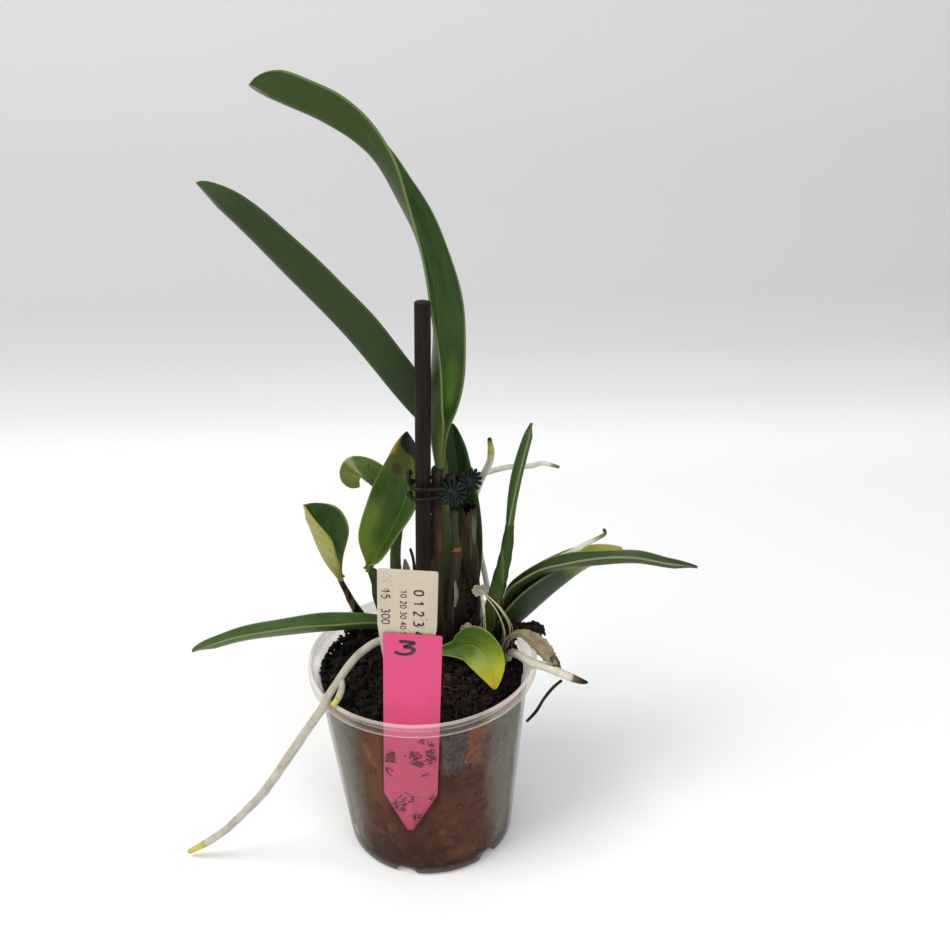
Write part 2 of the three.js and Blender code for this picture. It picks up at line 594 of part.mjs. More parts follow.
// A round thumb pad cut into petals, upright, with its face to -Y and its centre at the origin.
function daisy() {
  const outline = new THREE.Shape();
  const points = PETALS * 4;
  for (let i = 0; i < points; i += 1) {
    const angle = (i / points) * TURN;
    const reach = i % 4 === 0 ? DAISY_RADIUS * PETAL_NOTCH : DAISY_RADIUS;
    const x = reach * Math.cos(angle);
    const y = reach * Math.sin(angle);
    if (i === 0) outline.moveTo(x, y);
    else outline.lineTo(x, y);
  }
  const plate = new THREE.ExtrudeGeometry(outline, { depth: DAISY_THICK, bevelEnabled: false });
  const boss = new THREE.SphereGeometry(DAISY_BOSS, 10, 6).scale(1, 1, 0.7);
  boss.translate(0, 0, DAISY_THICK);
  return joined([plate, boss]).rotateX(Math.PI / 2);
}

function finger(points) {
  return stem(points.map((point) => [...point, FINGER_RADIUS]), { steps: 14, sides: 6 });
}

function knob(x, y, z) {
  return new THREE.SphereGeometry(KNOB_RADIUS, 8, 6).translate(x, y, z);
}

// The front jaw turns on the pin: two fingers pass in front of the cane, the pad lies to the right.
function frontJaw() {
  const sleeve = solid(hingeRound(SLEEVE_OUTER, SLEEVE_HEIGHT, 16));
  const bore = solid(hingeRound(SLEEVE_INNER, SLEEVE_HEIGHT + 2, 16));
  const web = new THREE.BoxGeometry(3.4, 1.4, SLEEVE_HEIGHT - 0.6);
  web.translate(HINGE.x - 0.4, HINGE.y - 2.4, CLIP_HEIGHT);
  const pad = daisy().rotateX(-0.35).rotateZ(0.1);
  pad.translate(HINGE.x + 0.4, HINGE.y - 3.0, CLIP_HEIGHT - 0.6);
  const upper = [
    [-1.3, 3, 159.6], [-1.6, 0.6, 157.6], [-0.2, -2.8, 156.6], [3.4, -4.2, 156.4], [8, -3.6, 156.2],
    [12.4, -2.4, 155.8],
  ];
  const lower = [
    [-1.5, 0.2, 152.6], [-0.2, -2.9, 152.2], [3.4, -4.2, 152.4], [8, -3.6, 152.8], [12.4, -2.4, 153.4],
  ];
  const parts = [web, pad, finger(upper), finger(lower), knob(...upper[0]), knob(...lower[0])];
  const body = parts.map(solid).reduce((sum, next) => sum.add(next), sleeve);
  return fromSolid(body.subtract(bore));
}

// The back jaw carries the pin on two lugs, and reaches behind the stem.
function backJaw() {
  const lugOffset = SLEEVE_HEIGHT / 2 + GAP + LUG_HEIGHT / 2;
  const pinHeight = SLEEVE_HEIGHT + 2 * (GAP + LUG_HEIGHT);
  const back = new THREE.BoxGeometry(6.4, 1, pinHeight);
  back.translate(HINGE.x + 1, HINGE.y + 2.8, CLIP_HEIGHT);
  const parts = [hingeRound(PIN_RADIUS, pinHeight), back];
  for (const side of [-1, 1]) {
    const lug = new THREE.BoxGeometry(3.2, 4.4, LUG_HEIGHT);
    parts.push(lug.translate(HINGE.x, HINGE.y + 1.1, CLIP_HEIGHT + side * lugOffset));
  }
  const pad = daisy().rotateX(-0.15).rotateZ(0.5);
  pad.translate(HINGE.x + 6.5, HINGE.y + 3.8, CLIP_HEIGHT + 0.6);
  const arm = [
    [12, 3.4, 155.2], [9.2, 6.9, 155.4], [5.5, 6.4, 155.6], [2.5, 4.5, 155.8], [-0.6, 3.3, 155.8],
  ];
  parts.push(pad, finger(arm), knob(...arm.at(-1)));
  return joined(parts);
}

addMesh('clip_front', frontJaw(), clipGreen);
addMesh('clip_back', backJaw(), clipGreen);

// ---------------------------------------------------------------- potting mix

const MIX_EDGE = 76.5;
const MIX_SIDES = 40;
const MIX_RINGS = 9;
const MIX_WALL_TOP = 68;
const MIX_WALL_STEPS = 3;
const MIX_WALL_GAP = GAP + 0.15;
const MIX_EDGE_GAP = GAP + 0.6;
const MOUND_HEIGHT = 3.2;
const MOUND_SPREAD = 24;
const BACK_DROP = 6.5;
const LUMPY_RADIUS = 38;

// The height of the mix: a mound about the cane, lower at the back, with rough bark lumps.
function mixHeight(x, y) {
  const r = Math.hypot(x, y);
  const mound = MOUND_HEIGHT * Math.exp(-((r / MOUND_SPREAD) ** 2));
  const drop = BACK_DROP * THREE.MathUtils.smoothstep(y, 6, 40);
  const lumps = 0.8 * Math.sin(0.61 * x + 1.3) * Math.cos(0.53 * y - 0.4)
    + 0.7 * Math.sin(0.9 * x - 0.75 * y) + 0.5 * Math.cos(1.3 * y + 0.7 * x + 2);
  return MIX_EDGE + mound - drop + lumps * (r < LUMPY_RADIUS ? 1 : 0.5);
}

function mixBody() {
  const bottom = FLOOR + GAP;
  const profile = [new THREE.Vector2(0, bottom)];
  for (let step = 0; step <= MIX_WALL_STEPS; step += 1) {
    const z = bottom + ((MIX_WALL_TOP - bottom) * step) / MIX_WALL_STEPS;
    profile.push(new THREE.Vector2(innerRadius(z) - MIX_WALL_GAP, z));
  }
  const edge = innerRadius(MIX_EDGE) - MIX_EDGE_GAP;
  for (let ring = MIX_RINGS; ring >= 0; ring -= 1) {
    profile.push(new THREE.Vector2((edge * ring) / MIX_RINGS, MIX_EDGE));
  }
  const body = new THREE.LatheGeometry(profile, MIX_SIDES).rotateX(Math.PI / 2);
  const position = body.attributes.position;
  for (let i = 0; i < position.count; i += 1) {
    if (Math.abs(position.getZ(i) - MIX_EDGE) > 0.01) continue;
    position.setZ(i, mixHeight(position.getX(i), position.getY(i)));
  }
  return body;
}

// Everything that stands in the mix has a plain hole of its own shape in it.
const planted = [
  'rhizome', 'bulb_tall', 'bulb_behind', 'bulb_front', 'bulb_grey', 'stem_dried', 'stem_sheathed',
  'bulb_cut', 'bulb_upright', 'bulb_lower_right', 'bulb_blotched', 'bulb_long', 'root_left',
  'root_right', 'root_up', 'root_back', 'spike_remnant', 'dry_curl',
];
const holes = planted.map((name) => stemGeometry(name, HOLE_GAP));
holes.push(stem(caneRoute, { ...caneLook, grow: HOLE_GAP }));
holes.push(pinkTag(HOLE_GAP), whiteTag(HOLE_GAP));

addMesh('potting_mix', cut(mixBody(), holes), barkMix);

export default orchid;
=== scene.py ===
"""Looks of a young cattleya orchid in a clear grow pot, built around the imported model.

Lengths are in millimetres until a mesh is made, +Z up, the centre of the pot's underside at the origin.
"""

import json
import math

import bmesh
import bpy
import numpy as np
from mathutils import Matrix, Vector


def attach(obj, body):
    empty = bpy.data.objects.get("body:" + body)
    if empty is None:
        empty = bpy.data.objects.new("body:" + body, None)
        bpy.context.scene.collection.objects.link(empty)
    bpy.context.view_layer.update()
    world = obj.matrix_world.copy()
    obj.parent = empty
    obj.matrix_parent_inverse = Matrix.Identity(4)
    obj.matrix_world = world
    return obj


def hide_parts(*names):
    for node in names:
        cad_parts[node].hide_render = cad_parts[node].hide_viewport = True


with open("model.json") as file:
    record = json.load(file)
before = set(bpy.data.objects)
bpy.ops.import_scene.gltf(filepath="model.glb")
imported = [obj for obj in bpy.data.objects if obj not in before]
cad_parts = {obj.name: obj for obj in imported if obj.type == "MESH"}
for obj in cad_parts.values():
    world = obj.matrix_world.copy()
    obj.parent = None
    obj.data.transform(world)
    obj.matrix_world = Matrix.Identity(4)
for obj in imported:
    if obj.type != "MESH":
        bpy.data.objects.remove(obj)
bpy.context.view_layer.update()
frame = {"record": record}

MM = 0.001
TURN = 2 * math.pi
scene = bpy.context.scene


# ---------------------------------------------------------------- curves and meshes


def smooth(rows, shares):
    """Rows of numbers read off one smooth curve, at shares 0..1 of the way through them."""
    rows = np.array(rows, float)
    padded = np.vstack([2 * rows[0] - rows[1], rows, 2 * rows[-1] - rows[-2]])
    place = np.clip(np.asarray(shares, float), 0, 1) * (len(rows) - 1)
    whole = np.minimum(place.astype(int), len(rows) - 2)
    part = (place - whole)[:, None]
    a, b, c, d = (padded[whole + step] for step in range(4))
    curve = 2 * b + (c - a) * part
    curve += (2 * a - 5 * b + 4 * c - d) * part**2
    curve += (3 * b - a - 3 * c + d) * part**3
    return curve / 2


def about_axis(radius, angle, z):
    """Points at a radius and angle about Z."""
    return np.stack([radius * np.cos(angle), radius * np.sin(angle), z], 1)


def unit(vectors):
    return vectors / np.linalg.norm(vectors, axis=-1, keepdims=True)


def measured(rows, samples=800):
    """A smooth curve's rows close together, and how far along it each lies."""
    fine = smooth(rows, np.linspace(0, 1, samples))
    steps = np.linalg.norm(np.diff(fine[:, :3], axis=0), axis=1)
    return fine, np.concatenate([[0], np.cumsum(steps)])


def stations(length, pitch, start, end):
    """Distances along a piece: even in the middle, closer where its ends round off."""
    close = 1 - np.cos(np.linspace(0, math.pi / 2, 7))
    count = max(2, int((length - start - end) / pitch))
    middle = np.linspace(start, length - end, count)[1:-1]
    return np.concatenate([close * start, middle, (length - close * end)[::-1]])


def led_in(rows, lead):
    """Rows with one more before them, lead mm sooner on their line and a little narrower."""
    rows = [list(map(float, row)) for row in rows]
    step = unit(np.array(rows[0][:3]) - np.array(rows[1][:3]))
    start = np.array(rows[0][:3]) + step * lead
    return [[*start, rows[0][3] * 0.8, *rows[0][4:]]] + rows


def read_at(fine, lengths, spots):
    return np.stack([np.interp(spots, lengths, column) for column in fine.T], axis=1)


def carried(directions, first):
    """Sideways unit vectors that follow a path with no twist."""
    across = []
    side = np.array(first, float)
    for forward in directions:
        side = side - forward * side.dot(forward)
        side /= np.linalg.norm(side)
        across.append(side)
    return np.array(across)


def bent(start, corner, end, steps):
    """Points of a curve from start to end that is drawn towards a corner."""
    shares = np.linspace(0, 1, steps + 1)
    return [
        (1 - share) ** 2 * start + 2 * share * (1 - share) * corner + share**2 * end
        for share in shares
    ]


def mesh_object(name, points, faces, marks=None, sharp=None):
    """A smooth-shaded object from points in mm. marks are named vectors, one a point."""
    mesh = bpy.data.meshes.new(name)
    mesh.from_pydata((np.asarray(points) * MM).tolist(), [], [list(map(int, face)) for face in faces])
    for key, values in (marks or {}).items():
        layer = mesh.attributes.new(key, "FLOAT_VECTOR", "POINT")
        layer.data.foreach_set("vector", np.asarray(values, np.float32).ravel())
    mesh.shade_smooth()
    if sharp is not None:
        mesh.set_sharp_from_angle(angle=math.radians(sharp))
    made = bpy.data.objects.new(name, mesh)
    scene.collection.objects.link(made)
    return made


def skin(rings, marks):
    """Points, faces and marks of a closed skin over rings, with a centre point at each end."""
    count, sides = rings.shape[:2]
    here = np.arange(sides)
    ahead = (here + 1) % sides
    faces = []
    for ring in range(count - 1):
        base = ring * sides
        faces.append(
            np.stack([base + here, base + ahead, base + sides + ahead, base + sides + here], 1)
        )
    faces = np.concatenate(faces).tolist()
    bottom, top = count * sides, count * sides + 1
    last = (count - 1) * sides
    faces += [[bottom, b, a] for a, b in zip(here, ahead)]
    faces += [[top, last + a, last + b] for a, b in zip(here, ahead)]
    flat = rings.reshape(-1, 3)
    points = np.vstack([flat, rings[0].mean(0), rings[-1].mean(0)])
    ends = {}
    for key, values in marks.items():
        ends[key] = np.vstack([values.reshape(-1, 3), values[0].mean(0), values[-1].mean(0)])
    return points, faces, ends


def merged(parts):
    """Several (points, faces, marks) as one."""
    points, faces, marks, start = [], [], {}, 0
    for part_points, part_faces, part_marks in parts:
        points.append(part_points)
        faces += [[corner + start for corner in face] for face in part_faces]
        for key, values in part_marks.items():
            marks.setdefault(key, []).append(values)
        start += len(part_points)
    return np.vstack(points), faces, {key: np.vstack(values) for key, values in marks.items()}


def tube(rows, sides, pitch, ends=(0.6, 0.6), shape=None):
    """A stem, root or wire along rows of x, y, z, radius. ends are how far it rounds off, in radii.

    shape(turn, along, share) may swell the radius, with turn 0..1 round it. The marks are grain, a
    place in mm inside a straightened copy, and place: the turn, the distance along, and the share.
    """
    fine, lengths = measured(rows)
    length = lengths[-1]
    rounding = [end * radius for end, radius in zip(ends, (fine[0, 3], fine[-1, 3]))]
    along = stations(length, pitch, *rounding)
    row = read_at(fine, lengths, along)
    forward = unit(np.gradient(row[:, :3], axis=0))
    first = np.cross([0, 1, 0], forward[0])
    if np.linalg.norm(first) < 0.3:
        first = np.cross([1, 0, 0], forward[0])
    across = carried(forward, first)
    up = np.cross(forward, across)
    ease = np.ones(len(along))
    for distance, reach in ((along, rounding[0]), (length - along, rounding[1])):
        left = np.clip(distance / max(reach, 1e-6), 0, 1)
        ease *= np.sqrt(np.clip(1 - (1 - left) ** 2, 0.0004, 1))
    turn = np.arange(sides) / sides
    angle = turn * TURN
    turns, alongs = np.meshgrid(turn, along)
    radius = row[:, 3:4] * ease[:, None] * np.ones_like(turns)
    if shape is not None:
        radius = radius * shape(turns, alongs, alongs / length)
    cos, sin = np.cos(angle)[None, :, None], np.sin(angle)[None, :, None]
    rings = row[:, None, :3] + radius[..., None] * (across[:, None] * cos + up[:, None] * sin)
    grain = np.stack([radius * np.cos(angle), radius * np.sin(angle), alongs], 2)
    place = np.stack([turns, alongs, alongs / length], 2)
    return skin(rings, {"grain": grain, "place": place})


def wobble(seed, amount, bumps=3, reach=9.0):
    """A gentle unevenness round and along a stem."""
    random = np.random.default_rng(seed)
    waves = []
    for _ in range(5):
        count = random.integers(1, bumps + 1)
        waves.append((count, random.uniform(0.4, 1.6) * TURN / reach, random.uniform(0, TURN)))

    def shape(turn, along, share):
        total = sum(np.sin(count * turn * TURN + pace * along + phase) for count, pace, phase in waves)
        return 1 + amount * total / len(waves)

    return shape


FOLD_CURVE = 1.15
EASED_TIMES = 60


def blade(rows, tip, pitch, wave, seed, keel=1.5, margin=0.7, across_steps=22, torn=0.0, eased_side=0):
    """A leaf along rows of x, y, z, half width, fold in degrees, and the way its upper face looks.

    torn frays its margins, and eased_side (-1 or 1) evens out the margin on the inside of a sharp
    turn. The marks are grain (mm across, face, mm along) and place (share -1..1 across, mm along,
    0 on the upper face and 1 on the lower).
    """
    fine, lengths = measured(rows)
    length = lengths[-1]
    along = stations(length, pitch, 0.5, tip)
    row = read_at(fine, lengths, along)
    point = row[:, :3]
    forward = unit(np.gradient(point, axis=0))
    facing = row[:, 5:8] - forward * (row[:, 5:8] * forward).sum(1, keepdims=True)
    facing = unit(facing)
    across = np.cross(forward, facing)
    left = np.clip((length - along) / tip, 0, 1)
    half = np.maximum(row[:, 3] * np.sqrt(1 - (1 - left) ** 2), 0.4)[:, None]
    fold = np.radians(row[:, 4])[:, None]
    wide, tall = half * np.cos(fold), half * np.sin(fold)
    share = np.linspace(-1, 1, across_steps + 1)[None, :]
    out = np.abs(share)
    random = np.random.default_rng(seed)
    phase = random.uniform(0, TURN, 4)
    ripple = wave * out**2 * (
        np.sin(
            along[:, None] / 9 + phase[0] + 1.1 * share
        ) + 0.6 * np.sin(along[:, None] / 4.3 + phase[1] - 2 * share)
    )
    height = tall * out**FOLD_CURVE + ripple
    slope = tall * FOLD_CURVE * out ** (FOLD_CURVE - 1) * np.sign(share)
    run = np.hypot(wide, slope)
    thick = margin + (keel - margin) * (1 - share * share)
    fade = np.clip(left, 0.35, 1)[:, None]
    thick = thick * fade
    normal_across, normal_up = slope / run, -wide / run

    def placed(sideways, upward):
        aside = across[:, None] * sideways[..., None]
        return point[:, None] + aside + facing[:, None] * upward[..., None]

    rips = np.sin(along[:, None] * 1.9 + phase[2] + 2 * np.sign(share))
    rips = rips + np.sin(along[:, None] * 4.1 * np.sign(share) + phase[3])
    fray = 1 + torn * out**3 * rips
    upper = (wide * share * fray, height + 0 * share)
    lower = (wide * share * fray + normal_across * thick, height + normal_up * thick)
    rings, shares, sides = [placed(*upper)], [share + 0 * half], [0 * share + 0 * half]
    bulge = np.radians([45, 90, 135])
    for end, order in ((-1, 1), (0, -1)):
        middle = [(top[:, end] + bottom[:, end]) / 2 for top, bottom in zip(upper, lower)]
        arm = [(top[:, end] - bottom[:, end]) / 2 for top, bottom in zip(upper, lower)]
        turned = (arm[1] * order, -arm[0] * order)
        swing = bulge if order == 1 else bulge[::-1]
        cos, sin = np.cos(swing)[None], np.sin(swing)[None]
        edge = [middle[k][:, None] + arm[k][:, None] * cos + turned[k][:, None] * sin for k in (0, 1)]
        ring = placed(*edge)
        mark = np.full(ring.shape[:2], float(order))
        if order == 1:
            rings += [ring, placed(*lower)[:, ::-1]]
            shares += [mark, (share + 0 * half)[:, ::-1]]
            sides += [mark * 0 + 0.5, 0 * share + 0 * half + 1]
        else:
            rings.append(ring)
            shares.append(mark)
            sides.append(mark * 0 + 0.5)
    rings = np.concatenate(rings, 1)[:, ::-1]
    shares = np.concatenate(shares, 1)[:, ::-1]
    sides = np.concatenate(sides, 1)[:, ::-1]
    if eased_side:
        weight = 0.5 * np.clip(shares[1:-1] * eased_side * 1.6 + 0.2, 0, 1)[..., None]
        for _ in range(EASED_TIMES):
            rings[1:-1] += weight * ((rings[:-2] + rings[2:]) / 2 - rings[1:-1])
    alongs = along[:, None] + 0 * shares
    grain = np.stack([shares * half, sides * 5, alongs], 2)
    place = np.stack([shares, alongs, sides], 2)
    return skin(rings, {"grain": grain, "place": place})


# ---------------------------------------------------------------- node materials


def linear(red, green, blue):
    """A colour given as 0..255 display values, as the linear one that a shader takes."""
    return (
        *[
            (v / 255 / 12.92) if v <= 10 else ((v / 255 + 0.055) / 1.055) ** 2.4
            for v in (red, green, blue)
        ],
        1.0,
    )


class Look:
    """A procedural material: each call adds a node and gives its socket."""

    def __init__(self, name, roughness, **constants):
        self.material = bpy.data.materials.new(name)
        self.material.use_nodes = True
        self.tree = self.material.node_tree
        self.shader = self.tree.nodes["Principled BSDF"]
        self.set("Roughness", roughness)
        for key, value in constants.items():
            self.set(key.replace("_", " "), value)
        self.colour = None
        self.height = None

    def put(self, node, key, value):
        """Links a socket or sets a value. Colours are given as 0..255 display values."""
        socket = node.inputs[key]
        if isinstance(value, bpy.types.NodeSocket):
            self.tree.links.new(value, socket)
        else:
            socket.default_value = linear(*value) if socket.type == "RGBA" else value

    def set(self, key, value):
        self.put(self.shader, key, value)
        return self

    def node(self, kind, inputs, output=0, **settings):
        made = self.tree.nodes.new("ShaderNode" + kind)
        for key, value in settings.items():
            setattr(made, key, value)
        for key, value in inputs.items():
            self.put(made, key, value)
        return made.outputs[output]

    def math(self, operation, a, b=0.0, clamp=False):
        return self.node("Math", {0: a, 1: b}, operation=operation, use_clamp=clamp)

    def add(self, a, b):
        return self.math("ADD", a, b)

    def times(self, a, b):
        return self.math("MULTIPLY", a, b)

    def inverse(self, a):
        return self.math("SUBTRACT", 1.0, a, clamp=True)

    def between(self, value, low, high):
        """0 up to low, 1 from high, and smooth in between."""
        inputs = {"Value": value, "From Min": low, "From Max": high}
        return self.node("MapRange", inputs, interpolation_type="SMOOTHSTEP")

    def below(self, value, low, high):
        """1 up to low, 0 from high, and smooth in between."""
        return self.inverse(self.between(value, low, high))

    def band(self, value, low, high, end_low, end_high):
        """Rises from low to high, and falls again from end_low to end_high."""
        return self.times(self.between(value, low, high), self.below(value, end_low, end_high))

    def sway(self, noise, reach):
        """A noise of 0..1 as an unevenness about 0."""
        return self.times(self.add(noise, -0.5), reach)

    def oval(self, x, y, middle_x, middle_y, wide, tall):
        """How far out a place lies: 0 in an oval's middle, 1 on its edge."""
        dx = self.times(self.add(x, -middle_x), 1 / wide)
        dy = self.times(self.add(y, -middle_y), 1 / tall)
        return self.math("SQRT", self.add(self.times(dx, dx), self.times(dy, dy)))

    def mark(self, name):
        """The x, y and z of a named vector of the mesh, and the vector."""
        vector = self.node("Attribute", {}, output="Vector", attribute_name=name)
        return (*self.apart(vector), vector)

    def apart(self, vector):
        made = self.tree.nodes.new("ShaderNodeSeparateXYZ")
        self.put(made, 0, vector)
        return made.outputs[0], made.outputs[1], made.outputs[2]

    def spot(self):
        """The point's own place in the part, in mm."""
        made = self.tree.nodes.new("ShaderNodeTexCoord")
        return self.node(
            "VectorMath", {0: made.outputs["Object"], 1: (1 / MM,) * 3}, operation="MULTIPLY",
        )

    def stretch(self, vector, x, y, z):
        return self.node("VectorMath", {0: vector, 1: (x, y, z)}, operation="MULTIPLY")

    def shift(self, vector, x, y, z):
        return self.node("VectorMath", {0: vector, 1: (x, y, z)}, operation="ADD")

    def noise(self, vector, scale, detail, roughness=0.55, distortion=0.0):
        inputs = {"Vector": vector, "Scale": scale, "Detail": detail, "Roughness": roughness}
        return self.node("TexNoise", {**inputs, "Distortion": distortion})

    def cells(self, vector, scale):
        return self.node("TexVoronoi", {"Vector": vector, "Scale": scale}, output="Distance")

    def mix(self, factor, a, b):
        made = self.tree.nodes.new("ShaderNodeMix")
        made.data_type = "RGBA"
        for key, value in ((0, factor), (6, a), (7, b)):
            self.put(made, key, value)
        return made.outputs[2]

    def lay(self, factor, tone, amount=None):
        """Lays a tone over the colour so far, where factor says."""
        factor = factor if amount is None else self.times(factor, amount)
        self.colour = self.mix(factor, self.colour, tone)
        return self

    def ramp(self, factor, stops):
        """A colour from stops of (place, colour)."""
        made = self.tree.nodes.new("ShaderNodeValToRGB")
        self.put(made, 0, factor)
        elements = made.color_ramp.elements
        while len(elements) < len(stops):
            elements.new(0.5)
        for element, (place, colour) in zip(elements, stops):
            element.position = place
            element.color = linear(*colour)
        return made.outputs[0]

    def heights(self, value, stops):
        """A colour from stops of (value, colour), such as heights in mm."""
        low, high = stops[0][0], stops[-1][0]
        share = self.node("MapRange", {"Value": value, "From Min": low, "From Max": high})
        return self.ramp(share, [((at - low) / (high - low), colour) for at, colour in stops])

    def relief(self, height, depth):
        """Adds depth mm of bump where height is 1."""
        scaled = self.times(height, depth * MM)
        self.height = scaled if self.height is None else self.add(self.height, scaled)
        return self

    def done(self, roughness=None):
        """The material, with the colour and relief that were built up."""
        self.set("Base Color", self.colour)
        if roughness is not None:
            self.set("Roughness", roughness)
        if self.height is not None:
            self.set(
                "Normal", self.node("Bump", {"Height": self.height, "Distance": 1.0, "Strength": 1.0}),
            )
        return self.material


def finished(made, look, node=None, *, slot, body="plant"):
    """Gives a piece its material and body, and hides the solids it stands for. slot is not used."""
    made.data.materials.clear()
    made.data.materials.append(look)
    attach(made, body)
    if node is not None:
        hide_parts(*([node] if isinstance(node, str) else node))
    return made


def piece(name, parts, look, node=None, **where):
    """A finished piece out of several (points, faces, marks)."""
    return finished(mesh_object(name, *merged(parts)), look, node, **where)


# ---------------------------------------------------------------- pot

POT_HEIGHT = 82.7
RIM_RADIUS = 44.1
BASE_RADIUS = 33.0
WALL = 1.2
FLOOR = 1.6
LIP_HEIGHT = 5.7
SHOULDER_RADIUS = 40.8
CORNER_RADIUS = 0.5
CORNER_STEPS = 4
NOTCHES = 6
NOTCH_RADIUS = 4.4
NOTCH_REACH = 33.5
NOTCH_START = math.radians(-46.5)
SHOULDER = POT_HEIGHT - LIP_HEIGHT
WALL_SLOPE = (SHOULDER_RADIUS - BASE_RADIUS) / SHOULDER


def inner_radius(z):
    return BASE_RADIUS + WALL_SLOPE * z - WALL


def eased(profile):
    """A profile with its corners rounded off."""
    profile = [np.array(point, float) for point in profile]
    points = [profile[0]]
    for before, corner, after in zip(profile, profile[1:], profile[2:]):
        shortest = min(np.linalg.norm(before - corner), np.linalg.norm(after - corner))
        reach = min(CORNER_RADIUS, shortest / 2.2)
        start = corner + unit(before - corner) * reach
        end = corner + unit(after - corner) * reach
        points += bent(start, corner, end, CORNER_STEPS)
    return np.array(points + [profile[-1]])


def turned(profile, sides):
    """A solid of revolution about Z from a profile of (radius, z), foot first."""
    angle = np.arange(sides) / sides * TURN
    radius, z = profile[:, :1], profile[:, 1:]
    rings = np.stack([radius * np.cos(angle), radius * np.sin(angle), z + 0 * angle], 2)
    return skin(rings, {})


def filled_in(profile, step):
    """More points along the long stretches of a profile."""
    points = [profile[0]]
    for start, end in zip(profile, profile[1:]):
        count = max(1, int(np.linalg.norm(end - start) / step))
        points += [start + (end - start) * k / count for k in range(1, count + 1)]
    return np.array(points)


def pot_mesh():
    profile = [
        (0.02, 0.0), (22, 0.0), (BASE_RADIUS - 1.2, 0.0), (BASE_RADIUS, 1.2),
        (SHOULDER_RADIUS, SHOULDER - 0.6),
        (RIM_RADIUS - 0.7, SHOULDER), (RIM_RADIUS - 0.1, SHOULDER + 0.9),
        (RIM_RADIUS, POT_HEIGHT - 0.9),
        (RIM_RADIUS - 0.5, POT_HEIGHT), (RIM_RADIUS - 1.3, POT_HEIGHT),
        (RIM_RADIUS - 1.7, POT_HEIGHT - 0.7),
        (RIM_RADIUS - 2.0, SHOULDER + 1.6), (SHOULDER_RADIUS - WALL, SHOULDER + 0.2),
        (inner_radius(FLOOR), FLOOR), (0.02, FLOOR),
    ]
    points, faces, _ = turned(filled_in(eased(profile), 3.0), 160)
    return mesh_object("pot_shell", points, faces, sharp=50)


def notched(made):
    """Cuts rounded drain notches where the wall meets the floor."""
    cutters = []
    for k in range(NOTCHES):
        rows = [(-4.4, 0, 0, NOTCH_RADIUS), (5.2, 0, 0, NOTCH_RADIUS)]
        points, faces, _ = tube(rows, sides=32, pitch=3, ends=(0.02, 0.02))
        angle = NOTCH_START + k / NOTCHES * TURN
        cutter = mesh_object(f"notch_{k}", points, faces)
        outward = Matrix.Translation((NOTCH_REACH * MM, 0, 0))
        cutter.matrix_world = Matrix.Rotation(angle, 4, "Z") @ outward
        cutters.append(cutter)
    bpy.context.view_layer.update()
    for cutter in cutters:
        modifier = made.modifiers.new("notch", "BOOLEAN")
        modifier.operation = "DIFFERENCE"
        modifier.solver = "EXACT"
        modifier.object = cutter
    cut = bpy.data.meshes.new_from_object(made.evaluated_get(bpy.context.evaluated_depsgraph_get()))
    made.modifiers.clear()
    made.data = cut
    made.data.shade_smooth()
    made.data.set_sharp_from_angle(angle=math.radians(50))
    for cutter in cutters:
        bpy.data.objects.remove(cutter)
    return made


